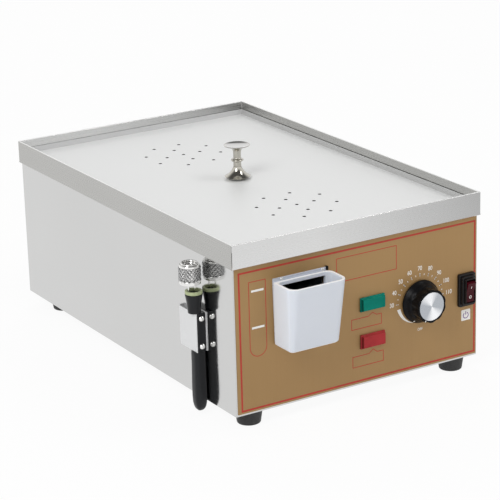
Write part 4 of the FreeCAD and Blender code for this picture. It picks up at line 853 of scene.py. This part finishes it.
class STEAMER_OT_dial(bpy.types.Operator):
    """Build the fluted dial, its pointer and its spun cap"""

    bl_idname = "steamer.dial"
    bl_label = "Thermostat dial"

    def execute(self, context):
        _, high, middle, half = extent("dial_knob")
        centre = Vector((middle.x, high.y, middle.z))
        flange = half.x
        depth = 2 * half.y
        grip, seat, start = mm(18.0, 15.4, 8.6)
        skirt = flow([(flange - 0.2 * MM, 0.6 * MM), (flange, 1.2 * MM), (flange - 0.5 * MM, 2.6 * MM),
                      (flange - 2.4 * MM, 5.2 * MM), (grip + 1.2 * MM, 8.0 * MM), (grip, 10.2 * MM)])
        nose = soften([(grip, 10.4 * MM), (grip - 0.3 * MM, depth), (seat, depth), (seat, depth - 1.2 * MM)],
                      0.9 * MM, 5)
        long_grip = [(grip - 0.02 * MM * i, 10.4 * MM + 1.1 * MM * i) for i in range(1, 8)]
        profile = [(0.0, 0.3 * MM), (flange - 1.0 * MM, 0.3 * MM), *skirt, nose[0], *long_grip, *nose[1:],
                   (0.0, depth - 1.2 * MM)]
        bite = sizes().flute_bite
        flutes = sizes().flute_count

        def swell(radius, height, angle):
            if radius < seat + 0.3 * MM or height < start:
                return radius
            fade = min(1.0, (height - start) / (2.0 * MM))
            wave = 0.5 + 0.5 * math.cos(flutes * angle)
            return radius - bite * fade * wave**2 * min(1.0, (radius - seat) / (grip - seat))

        make_piece("dial_moulding", lathe(profile, centre, FORWARD, 160, swell), "black_gloss", "dial",
                   "dial_knob", sharp=40)
        self.pointer(centre, flange, grip, seat, depth)
        _, cap_high, _, half = extent("dial_cap")
        rim = half.x
        gauge = 2 * half.y
        edge = flow([(rim, 0.4 * gauge), (rim - 0.2 * MM, 0.8 * gauge), (rim - 0.7 * MM, gauge),
                     (rim - 1.3 * MM, 0.9 * gauge)])
        disc = [(0.0, 0.0), (rim, 0.0), *edge, *scaled(rim, gauge, (0.6, 0.75), (0.25, 0.6), (0.0, 0.55))]
        face = Vector((centre.x, cap_high.y, centre.z))
        make_piece("dial_disc", lathe(disc, face, FORWARD, 96), "spun_aluminium", "dial",
                   "dial_cap", sharp=60)
        return {"FINISHED"}

    def pointer(self, centre, flange, grip, seat, depth):
        """Mark the skirt, the grip and the nose in one line, 30 degrees past the lowest point."""
        outer, inner = -flange + 1.0 * MM, -flange + 3.6 * MM
        mark = [(-0.6 * MM, outer, 3.2 * MM), (0.6 * MM, outer, 3.2 * MM), (0.5 * MM, inner, 6.2 * MM),
                (-0.5 * MM, inner, 6.2 * MM)]
        bm = loft([[Vector(point) + Z * lift for point in mark] for lift in mm(-0.6, 0.3)])
        add_plate(bm, (Z * (depth - 0.9 * MM), X, Y),
                  box_outline(-0.55 * MM, 0.55 * MM, -grip + 0.6 * MM, -seat - 0.2 * MM), 0.94 * MM)
        add_plate(bm, (Vector((0, -grip + 0.95 * MM, depth - 4.0 * MM)), X, Z),
                  box_outline(*mm(-0.5, 0.5, 0.0, 3.0)), 0.3 * MM)
        stand = turn_to(FORWARD) @ Matrix.Rotation(math.radians(-30), 4, "Z")
        bmesh.ops.transform(bm, matrix=Matrix.Translation(centre) @ stand, verts=bm.verts)
        make_piece("dial_pointer", bm, "panel_white", "dial")


class STEAMER_OT_scale(bpy.types.Operator):
    """Print the dial's ticks, figures and heating wedge"""

    bl_idname = "steamer.scale"
    bl_label = "Dial scale"

    def execute(self, context):
        centre = extent("dial_knob")[2]
        plane = (Vector((centre.x, panel_plane()[0].y, centre.z)), X, Z)
        ink = sizes().ink
        count = 9
        first = 176.4
        step = 21.6
        place = Matrix.Translation(plane[0] - Y * ink * 0.5) @ turn_to(FORWARD)
        bm = bmesh.new()
        for ticks, reach, wide in ((count, sizes().tick, 0.95 * MM),
                                   (2 * count - 1, 0.55 * sizes().tick, 0.7 * MM)):
            mesh = grow("Scale ticks", "panel_white", {
                "Radius": 28.5 * MM, "Start": math.radians(first), "Sweep": math.radians((1 - count) * step),
                "Count": ticks, "Length": reach, "Width": wide, "Thickness": ink})
            mesh.transform(place)
            bm.from_mesh(mesh)
        for i in range(count):
            angle = math.radians(first - step * i)
            reach = (35.4 if i < 7 else 36.6) * MM
            add_text(bm, str(30 + 10 * i), sizes().figure, ink, plane, reach * math.cos(angle),
                     reach * math.sin(angle), 0.82)
        add_text(bm, "OFF", 0.62 * sizes().figure, ink, plane, 0.0, -30.8 * MM, 0.9)
        wedge_start, wedge_sweep, wedge_steps = 188, 62, 24
        wedge = []
        for i in range(wedge_steps + 1):
            share = i / wedge_steps
            turn = math.radians(wedge_start + wedge_sweep * share)
            way = Vector((math.cos(turn), math.sin(turn)))
            wedge.append((way * (24.8 - 1.5 * share) * MM, way * (29.0 - 5.6 * share) * MM))
        for (inner, outer), (next_inner, next_outer) in zip(wedge, wedge[1:]):
            add_plate(bm, plane, [inner, outer, next_outer, next_inner], ink)
        make_piece("scale_print", bm, "panel_white", "cabinet")
        return {"FINISHED"}


class STEAMER_OT_print(bpy.types.Operator):
    """Print the panel's lines, level marks and power sign"""

    bl_idname = "steamer.print"
    bl_label = "Panel print"

    def execute(self, context):
        plane = panel_plane()
        ink = sizes().ink
        thin = sizes().thin_line
        lines = bmesh.new()
        add_ribbon(lines, plane, box_outline(*mm(-141, 144.6, 3.4, 146.8)), sizes().border_line, ink)
        window = [mm(-110.8, 136.0), mm(-130, 136.0), *arc_points(9.6 * MM, 180, 360, 16, mm(-120.4, 67.4))]
        add_ribbon(lines, plane, window, thin, ink)
        add_ribbon(lines, plane, box_outline(*mm(-27.3, 45.5, 114.6, 139.6)), thin, ink)
        for left, right, low, high, peak, tip in ((-10, 26.5, 60, 71, 15.6, 74.3),
                                                  (-9, 28.6, 19, 30.5, 16.1, 34.4)):
            tag = [(left, low), (right, low), (right, high), (peak + 5, high), (peak, tip), (peak - 5, high),
                   (left, high)]
            add_ribbon(lines, plane, [mm(*point) for point in tag], thin, ink)
        make_piece("panel_lines", lines, "panel_red", "cabinet")
        marks = bmesh.new()
        for level in (126.5, 88.3):
            add_plate(marks, plane, box_outline(*mm(-127.3, -113.0, level - 1.4, level + 0.8)), ink)
        label = soften(box_outline(*mm(127.9, 139.5, 40, 51.9)), 1.0 * MM, 4, closed=True)
        add_plate(marks, plane, label, ink)
        make_piece("panel_marks", marks, "panel_white", "cabinet")
        sign = bmesh.new()
        on_label = (plane[0] - Y * ink, X, Z)
        middle = (133.7, 45.6)
        bar = [mm(middle[0], middle[1] + rise) for rise in (0.6, 4.2)]
        for points in (arc_points(3.2 * MM, 125, 415, 24, mm(*middle)), bar):
            add_ribbon(sign, on_label, points, 0.9 * MM, ink, closed=False)
        make_piece("power_sign", sign, "sign_violet", "cabinet")
        return {"FINISHED"}


class STEAMER_OT_water_box(bpy.types.Operator):
    """Build the tapered water box with its rounded edges and the window in its back"""

    bl_idname = "steamer.water_box"
    bl_label = "Water box"

    def execute(self, context):
        low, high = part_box("water_box")
        tall = high.z - low.z
        bottom = (low.x + 0.2 * MM, high.x - 8.6 * MM, high.y - 30.5 * MM)
        top = (low.x, high.x - 1.2 * MM, low.y)
        wall = sizes().box_wall
        turn = sizes().box_round
        lip = 0.9 * MM

        def plan(height, inset, inside=False):
            """Give the outline at a height, from the far left corner round the front to the far right."""
            share = (height - low.z) / tall
            left, right, front = (a + (b - a) * share for a, b in zip(bottom, top))
            left += inset
            right -= inset
            front += inset
            back = high.y - min(inset, wall)
            radii = [max(1.0 * MM, (a + (b - a) * share) * MM - 0.6 * inset)
                     for a, b in ((0.8, 0.8), (4.5, 10.0), (8.0, 10.0), (2.0, 7.0))]
            if inside:
                radii[0] = radii[3] = 6.0 * MM
            corners = ((left, back, 1, -1, 6), (left, front, 1, 1, 10), (right, front, -1, 1, 10),
                       (right, back, -1, -1, 6))
            points = []
            for i, (x, y, way_x, way_y, steps) in enumerate(corners):
                first = 90 * (i + 1) % 360
                centre = (x + way_x * radii[i], y + way_y * radii[i])
                points += arc_points(radii[i], first, first + 90, steps, centre)
            return [Vector((x, y, height)) for x, y in points]

        quarter = [math.radians(90 * i / 5) for i in range(6)]
        rows = [plan(low.z + turn * (1 - math.cos(a)), turn * (1 - math.sin(a))) for a in quarter]
        rows += [plan(low.z + tall * share, 0.0) for share in (0.2, 0.4, 0.6, 0.8, 0.92)]
        rows += [plan(high.z - lip * (1 - math.sin(a)), lip * (1 - math.cos(a))) for a in quarter]
        rows += [plan(high.z - lip * (1 - math.cos(a)), wall - lip * (1 - math.sin(a)), True)
                 for a in quarter]
        rows += [plan(low.z + tall * share, wall, True) for share in (0.9, 0.7, 0.5, 0.3, 0.12)]
        rows.append(plan(low.z + 2 * wall, wall + 1.0 * MM, True))
        duct_low, duct_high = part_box("inlet_duct")
        sheet = 1.0 * MM
        window = soften(box_outline(duct_low.x + sheet, duct_high.x - sheet, duct_low.z + sheet,
                                    duct_high.z - sheet), 2.0 * MM, 4, closed=True)
        cutter = add_plate(None, (Vector((0, high.y + 2 * MM, 0)), X, Z), window, wall + 4 * MM)
        make_piece("water_box_shell", cut_out(loft(rows), cutter), "box_white", "cabinet",
                   "water_box", sharp=40, even=True)
        round_off("box_plate", "box_back_plate", "plate_blue", "cabinet", rounding=0.3 * MM)
        round_off("box_catch", "box_latch", "black_gloss", "cabinet", rounding=0.5 * MM)
        return {"FINISHED"}


class STEAMER_OT_lamps(bpy.types.Operator):
    """Round the edges of the two lenses"""

    bl_idname = "steamer.lamps"
    bl_label = "Lamps"

    def execute(self, context):
        for name in ("green", "red"):
            slot = f"lens_{name}"
            round_off(f"{name}_lens", f"lamp_{name}_lens", slot, "cabinet", rounding=0.45 * MM)
        return {"FINISHED"}


class STEAMER_OT_switch(bpy.types.Operator):
    """Round the switch's frame and rocker, and mark its two sides"""

    bl_idname = "steamer.switch"
    bl_label = "Power switch"

    def execute(self, context):
        low, high, middle, half = extent("switch_boot")
        step, soft, lead, mouth_wide, mouth_tall = mm(2.0, 0.8, 0.3, 5.6, 12.5)
        levels = (0.0, 3.2 * MM, 6.4 * MM, high.y - low.y)
        bm = bmesh.new()
        rows = []

        def add_ring(half_wide, half_tall, radius, depth):
            corners = box_outline(-half_wide, half_wide, -half_tall, half_tall)
            outline = soften(corners, radius, 6, closed=True)
            rows.append([bm.verts.new((middle.x + x, high.y - depth, middle.z + z)) for x, z in outline])

        for i, (base, crest) in enumerate(zip(levels, levels[1:])):
            for inset, depth in ((0.0, base), (0.1 * MM, crest - soft), (0.35 * soft, crest - 0.25 * soft),
                                 (soft, crest)):
                inset += step * i
                add_ring(half.x - inset, half.z - inset, 2.6 * MM, depth)
        for wider, depth in ((lead, levels[3]), (0.0, levels[3] - 0.4 * MM), (0.0, 0.0)):
            add_ring(mouth_wide + wider, mouth_tall + wider, 1.2 * MM, depth)
        skin(bm, rows, True)
        make_piece("switch_frame", bm, "boot_black", "cabinet", "switch_boot", sharp=50)
        round_off("switch_rocker", "power_rocker", "rocker_red", "rocker", sizes().edge)
        self.marks()
        return {"FINISHED"}

    def marks(self):
        """Mark the upper side of the rocker with a bar and the lower side with a ring."""
        joint = next(row for row in frame["joints"] if row["name"] == "rocker_tip")
        pivot = Vector(joint["pos_m"])
        tilt = Matrix.Rotation(math.radians(10), 3, "X")
        half, crown, dip = mm(11.0, 6.4, 2.0)
        bm = bmesh.new()
        for side, points, width, closed in ((1, [mm(0.0, -1.4), mm(0.0, 1.4)], 0.7 * MM, False),
                                            (-1, arc_points(1.3 * MM, 0, 345, 23), 0.6 * MM, True)):
            rise = Vector((0, -side * dip, half)).normalized()
            spot = Vector((0, -crown + 0.5 * dip, side * half * 0.5))
            add_ribbon(bm, (pivot + tilt @ spot, X, tilt @ rise), points, width, sizes().ink, closed)
        make_piece("rocker_marks", bm, "panel_white", "rocker")


class STEAMER_OT_feet(bpy.types.Operator):
    """Set the four rounded rubber feet"""

    bl_idname = "steamer.feet"
    bl_label = "Feet"

    def execute(self, context):
        low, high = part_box("feet")
        top, sole, recess, bore, mouth, root = mm(14.0, 12.0, 6.0, 2.1, 5.0, 5.2)
        rise = high.z - low.z
        unit = 1 / (2 * top)
        profile = soften([(root, recess), (mouth, 0.0), (sole, 0.0), (top, rise - 1.0 * MM), (top, rise),
                          (bore, rise), (bore, recess)], 1.6 * MM, 5, closed=True)
        bm = lathe([(r * unit, h * unit) for r, h in profile], Vector(), steps=48, closed=True)
        pattern = solid(bm, "foot")
        points = [(x, y, low.z) for x in (low.x + top, high.x - top) for y in (low.y + top, high.y - top)]
        values = {"Pattern": pattern, "Diameter": 2 * top, "Turn": 0.0, "Seed": 1}
        result = grow("Fasteners", "black_rubber", values, points)
        bpy.data.objects.remove(pattern)
        make_piece("rubber_feet", result, "black_rubber", "cabinet", "feet")
        return {"FINISHED"}


def screw_pattern():
    """Make a screw head of unit diameter with a cross recess."""
    dome = flow([(0.5, 0.03), (0.49, 0.1), (0.4, 0.2), (0.22, 0.27), (0.0, 0.3)], 4)
    head = lathe([(0.0, 0.0), (0.5, 0.0), *dome], Vector(), steps=32)
    arm = 0.07
    reach = 0.27
    quarter = Matrix(((0, -1), (1, 0)))
    cross = [Vector((-arm, -reach)), Vector((arm, -reach)), Vector((arm, -arm))]
    for _ in range(3):
        cross += [quarter @ point for point in cross[-3:]]
    return solid(cut_out(head, add_plate(None, (Z * 0.14, X, Y), cross, 0.3)), "screw")


class STEAMER_OT_screws(bpy.types.Operator):
    """Set the cross-head screws of the back panel and of the water box's plate"""

    bl_idname = "steamer.screws"
    bl_label = "Screws"

    def execute(self, context):
        pattern = screw_pattern()
        for node, axes, seed, across in (("panel_screws", BACKWARD, 3, 8.0 * MM),
                                         ("box_screws", FORWARD, 8, 3.0 * MM)):
            low, high, middle, _ = extent(node)
            half = across / 2
            base = high.y
            levels = [middle.z]
            if axes is BACKWARD:
                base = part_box("back_panel")[1].y
                levels = [low.z + half, high.z - half]
            turn = turn_to(axes)
            points = [turn.inverted() @ Vector((x, base, z))
                      for x in (low.x + half, high.x - half) for z in levels]
            values = {"Pattern": pattern, "Diameter": across, "Turn": math.tau, "Seed": seed}
            mesh = grow("Fasteners", "chrome", values, points)
            mesh.transform(turn)
            make_piece(f"{node}_heads", mesh, "chrome", "cabinet", node, sharp=30)
        bpy.data.objects.remove(pattern)
        return {"FINISHED"}


class STEAMER_OT_clip(bpy.types.Operator):
    """Round the bent clip on the left wall"""

    bl_idname = "steamer.clip"
    bl_label = "Side clip"

    def execute(self, context):
        round_off("clip_strip", "side_clip", "clip_steel", "cabinet", rounding=0.3 * MM, segments=2)
        return {"FINISHED"}


class STEAMER_OT_lifter(bpy.types.Operator):
    """Build the lifter that hangs in the clip"""

    bl_idname = "steamer.lifter"
    bl_label = "Lifter"

    def execute(self, context):
        self.handle()
        self.collar()
        self.head()
        self.fittings()
        return {"FINISHED"}

    def handle(self):
        """Build the grip, which is a rounded square in plan, and its neck."""
        low, high, centre, half = extent("lifter_grip")
        power = 3.2
        steps = 40
        rows = []
        for share, wide in ((0.0, 0.16), (0.012, 0.42), (0.04, 0.66), (0.08, 0.82), (0.14, 0.93),
                            (0.24, 0.99), (0.4, 1.0), (0.6, 0.97), (0.8, 0.94), (0.94, 0.95), (0.985, 0.93),
                            (1.0, 0.88)):
            height = low.z + (high.z - low.z) * share
            row = []
            for i in range(steps):
                angle = math.tau * i / steps
                x, y = (math.copysign(abs(c) ** (2 / power), c) for c in (math.cos(angle), math.sin(angle)))
                row.append(Vector((centre.x + half.x * wide * x, centre.y + half.y * wide * y, height)))
            rows.append(row)
        make_piece("lifter_handle", loft(rows), "grip_black", "lifter", "lifter_grip",
                   sharp=50)
        round_off("lifter_shank", "lifter_neck", "grip_black", "lifter", rounding=0.5 * MM)

    def collar(self):
        """Turn the flared collar and its ring."""
        half = extent("lifter_collar")[3]
        top = half.x
        rise = 2 * half.z
        foot = 0.74 * top
        flare = flow([(foot - 0.5 * MM, 0.0), (foot, 0.8 * MM), (foot + 0.3 * MM, 0.35 * rise),
                      (0.9 * top, 0.7 * rise), (top, 0.96 * rise), (top - 0.6 * MM, rise)])
        floor = rise - 1.5 * MM
        profile = [(0.0, 0.0), *flare, (0.7 * top, rise), (0.6 * top, floor), (0.0, floor)]
        bm = lathe(profile, foot_of("lifter_collar"), steps=56)
        make_piece("lifter_socket", bm, "grip_black", "lifter", "lifter_collar", sharp=45)
        half = extent("lifter_ring")[3]
        profile = soften(box_outline(half.x - 2.6 * MM, half.x, 0.0, 2 * half.z), 0.8 * MM, 4, closed=True)
        bm = lathe(profile, foot_of("lifter_ring"), steps=56, closed=True)
        make_piece("lifter_band", bm, "olive_plastic", "lifter", "lifter_ring", sharp=50)

    def head(self):
        """Build the prongs, the head and the wires wound both ways round it."""
        wires = bmesh.new()
        low, high, middle, half = extent("lifter_prongs")
        levels = (low.z - 1 * MM, low.z + 2 * MM, low.z + 6 * MM, high.z - 1 * MM, high.z + 1 * MM)
        for x, way in ((low.x + half.y, -MM), (high.x - half.y, MM)):
            add_wire(wires, [(x + way * bulge, middle.y, level)
                             for bulge, level in zip((0.0, 0.0, 0.6, 0.4, 0.0), levels)], half.y)
        make_piece("lifter_tines", wires, "chrome", "lifter", "lifter_prongs", sharp=60)
        half = extent("lifter_head")[3]
        foot = foot_of("lifter_head")
        radius = min(half.x, half.y) - 0.05 * MM
        tall = 2 * half.z
        bm = bmesh.new()
        wire = 0.55 * MM
        for back, inset in ((False, 0.0), (True, 0.5 * MM)):
            mesh = grow("Wound wires", "mesh_steel", {
                "Count": sizes().wire_count, "Radius": radius - wire - inset, "Height": 0.74 * tall,
                "Turns": 0.22, "Wire": wire, "Reverse": back})
            mesh.transform(Matrix.Translation(foot + Z * 0.14 * tall))
            bm.from_mesh(mesh)
        make_piece("lifter_mesh", bm, "mesh_steel", "lifter", sharp=60)
        core = soften([(0.0, 0.0), (radius - 0.5 * MM, 0.0), (radius - 0.2 * MM, 0.2 * tall),
                       (radius - 2.0 * MM, 0.24 * tall), (radius - 2.0 * MM, 0.86 * tall),
                       (radius - 0.5 * MM, 0.88 * tall), (radius - 0.9 * MM, tall), (0.55 * radius, tall),
                       (0.5 * radius, 0.93 * tall), (0.0, 0.93 * tall)], 0.7 * MM, 4)
        crown = lathe(core, foot, steps=64)
        make_piece("lifter_crown", crown, "chrome", "lifter", "lifter_head", sharp=45)

    def fittings(self):
        """Turn the wire loop and the two domed studs."""
        _, _, middle, half = extent("lifter_bail")
        loop = lathe(arc_points(half.z, 0, 330, 11, (half.x - half.z, 0.0)), middle, steps=56, closed=True)
        make_piece("lifter_loop", loop, "chrome", "lifter", "lifter_bail", sharp=60)
        low, high, middle, half = extent("lifter_rivets")
        head = 0.75 * half.x
        deep = high.y - low.y
        dome = flow(scaled(head, deep, (1.0, 0.0), (0.95, 0.3), (0.7, 0.72), (0.35, 0.95), (0.0, 1.0)))
        studs = bmesh.new()
        for level in (low.z + half.x, high.z - half.x):
            lathe([(0.0, 0.0), *dome], Vector((middle.x, high.y, level)), FORWARD, 40, bm=studs)
        make_piece("lifter_studs", studs, "chrome", "lifter", "lifter_rivets", sharp=60)


class STEAMER_OT_gland(bpy.types.Operator):
    """Build the ribbed cable gland on the back"""

    bl_idname = "steamer.gland"
    bl_label = "Cable gland"

    def execute(self, context):
        low, high, centre, half = extent("cable_gland")
        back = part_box("back_panel")[1].y
        base = Vector((centre.x, back, centre.z))
        radius = half.x
        reach = high.y - back
        inner = low.y - back
        bore, thread = mm(4.2, 8.0)
        cone = scaled(radius, reach, (1.0, 0.0), (1.0, 0.22), (0.9, 0.26), (0.9, 0.6), (0.62, 0.9))
        profile = soften([(bore, inner), (thread, inner), (thread, 0.0), *cone, (bore + 1.0 * MM, reach),
                          (bore, reach)], 0.8 * MM, 4, closed=True)
        bm = lathe(profile, base, BACKWARD, 64, closed=True)
        mesh = grow("Rods round a ring", "black_gloss", {"Count": 18, "Ring radius": 0.9 * radius,
                                                         "Rod radius": 0.9 * MM, "Height": 0.3 * reach})
        mesh.transform(Matrix.Translation(base + Y * 0.43 * reach) @ turn_to(BACKWARD))
        bm.from_mesh(mesh)
        make_piece("gland_body", bm, "boot_black", "cabinet", "cable_gland", sharp=40)
        return {"FINISHED"}


class STEAMER_OT_stage(bpy.types.Operator):
    """Set the floor, the lamps, the surroundings and the camera"""

    bl_idname = "steamer.stage"
    bl_label = "Stage"

    def execute(self, context):
        self.floor(context.scene)
        self.lamps(context.scene)
        self.surroundings(context.scene)
        self.camera(context.scene)
        context.scene.view_settings.view_transform = "Standard"
        return {"FINISHED"}

    def seen_mask(self, tree):
        """Tell rays that show the surroundings from rays that light the object."""
        path = add(tree, "ShaderNodeLightPath").node.outputs
        glossy = compute(tree, "MAXIMUM", path["Is Camera Ray"], path["Is Glossy Ray"])
        return compute(tree, "MAXIMUM", glossy, path["Is Transmission Ray"])

    def floor(self, scene):
        """Lay a pale floor that keeps the shadow."""
        mesh = bpy.data.meshes.new("floor")
        mesh.from_pydata([(x, y, 0.0) for x, y in box_outline(-12, 12, -12, 12)], [], [range(4)])
        floor = bpy.data.objects.new("floor", mesh)
        scene.collection.objects.link(floor)
        material = bpy.data.materials.new("pale_floor")
        material.use_nodes = True
        tree = material.node_tree
        shader = tree.nodes["Principled BSDF"]
        clouds = mask(tree, "Clouding", place_in(tree), Scale=1.5)
        pale = blend(tree, clouds, (0.88, 0.88, 0.88), (0.9, 0.9, 0.9))
        feed(shader, {"Base Color": pale, "Roughness": 0.9, "Specular IOR Level": 0.0})
        share = compute(tree, "MULTIPLY", self.seen_mask(tree), 0.92)
        mix = add(tree, "ShaderNodeMixShader", {"Fac": share, 1: shader.outputs["BSDF"],
                                                2: add(tree, "ShaderNodeEmission")})
        feed(tree.nodes["Material Output"], {"Surface": mix})
        mesh.materials.append(material)

    def lamps(self, scene):
        """Hang three square lamps that point at the object."""
        for name, place, size, power in (("key", (-2.0, -1.1, 2.0), 1.3, 32.0),
                                         ("fill", (1.1, -0.9, 1.9), 0.7, 7.0),
                                         ("rear", (0.9, 1.9, 1.9), 1.2, 12.0)):
            light = bpy.data.lights.new(name, "AREA")
            light.energy = power
            light.size = size
            lamp = bpy.data.objects.new(name, light)
            lamp.location = place
            lamp.visible_glossy = name != "rear"
            lamp.rotation_euler = (Vector((0, 0, 0.1)) - Vector(place)).to_track_quat("-Z", "Y").to_euler()
            scene.collection.objects.link(lamp)

    def surroundings(self, scene):
        """Set a white world with a dark roof in its reflections."""
        world = bpy.data.worlds.new("studio")
        world.use_nodes = True
        scene.world = world
        tree = world.node_tree
        ambient = tree.nodes["Background"]
        feed(ambient, {"Color": (1.0, 1.0, 1.0, 1.0), "Strength": 0.55})
        height = axes_of(tree, add(tree, "ShaderNodeTexCoord", output="Generated"))["Z"]
        roof = add(tree, "ShaderNodeMapRange", {"Value": height, "From Min": 0.42, "From Max": 0.8},
                   interpolation_type="SMOOTHSTEP")
        glossy = add(tree, "ShaderNodeLightPath", output="Is Glossy Ray")
        shade = blend(tree, compute(tree, "MULTIPLY", roof, glossy), (1.0, 1.0, 1.0), (0.12, 0.12, 0.12))
        seen = add(tree, "ShaderNodeBackground", {"Color": shade})
        mix = add(tree, "ShaderNodeMixShader", {"Fac": self.seen_mask(tree), 1: ambient.outputs["Background"],
                                                2: seen})
        feed(tree.nodes["World Output"], {"Surface": mix})

    def camera(self, scene):
        """Stand the camera where the photograph was taken from."""
        turn, rise, roll = (math.radians(angle) for angle in (-31.137, 18.476, -1.624))
        back = Vector((math.sin(turn) * math.cos(rise), -math.cos(turn) * math.cos(rise), math.sin(rise)))
        right = Vector((math.cos(turn), math.sin(turn), 0.0))
        up = back.cross(right)
        level = turn_to((right * math.cos(roll) + up * math.sin(roll),
                         up * math.cos(roll) - right * math.sin(roll), back))
        lens = bpy.data.cameras.new("camera")
        lens.lens = 150.894
        lens.sensor_width = 36.0
        camera = bpy.data.objects.new("camera", lens)
        aside, below, distance = 12.939, 99.51, 2307.133
        aim = Vector((aside * MM, 0.0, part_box("top_rim")[1].z - below * MM))
        camera.matrix_world = Matrix.Translation(aim + back * distance * MM) @ level
        scene.collection.objects.link(camera)
        scene.camera = camera


class STEAMER_PT_panel(bpy.types.Panel):
    """Sizes, colours and steps of the bun steamer"""

    bl_idname = "STEAMER_PT_panel"
    bl_label = "Bun steamer"
    bl_space_type = "VIEW_3D"
    bl_region_type = "UI"
    bl_category = "Steamer"

    def draw(self, context):
        for step in STEPS:
            self.layout.operator(step.bl_idname)
        for group in (context.scene.steamer_sizes, context.scene.steamer_colours):
            column = self.layout.column()
            for name in group.__annotations__:
                column.prop(group, name)


STEPS = (
    STEAMER_OT_stage, STEAMER_OT_finishes, STEAMER_OT_walls, STEAMER_OT_rim, STEAMER_OT_plate,
    STEAMER_OT_lid_knob, STEAMER_OT_dial, STEAMER_OT_scale, STEAMER_OT_print, STEAMER_OT_water_box,
    STEAMER_OT_lamps, STEAMER_OT_switch, STEAMER_OT_feet, STEAMER_OT_screws, STEAMER_OT_clip,
    STEAMER_OT_lifter, STEAMER_OT_gland,
)
CLASSES = (SteamerSizes, SteamerColours, *STEPS, STEAMER_PT_panel)


def register():
    """Add the classes and the scene's settings."""
    for item in CLASSES:
        bpy.utils.register_class(item)
    bpy.types.Scene.steamer_sizes = PointerProperty(type=SteamerSizes)
    bpy.types.Scene.steamer_colours = PointerProperty(type=SteamerColours)


def unregister():
    """Take the settings and classes away again."""
    del bpy.types.Scene.steamer_sizes
    del bpy.types.Scene.steamer_colours
    for item in reversed(CLASSES):
        bpy.utils.unregister_class(item)


def main():
    """Register the add-on and build everything."""
    register()
    for step in STEPS:
        group, name = step.bl_idname.split(".")
        if getattr(getattr(bpy.ops, group), name)() != {"FINISHED"}:
            raise RuntimeError(f"{step.bl_label} did not finish")


if __name__ == "__main__":
    main()
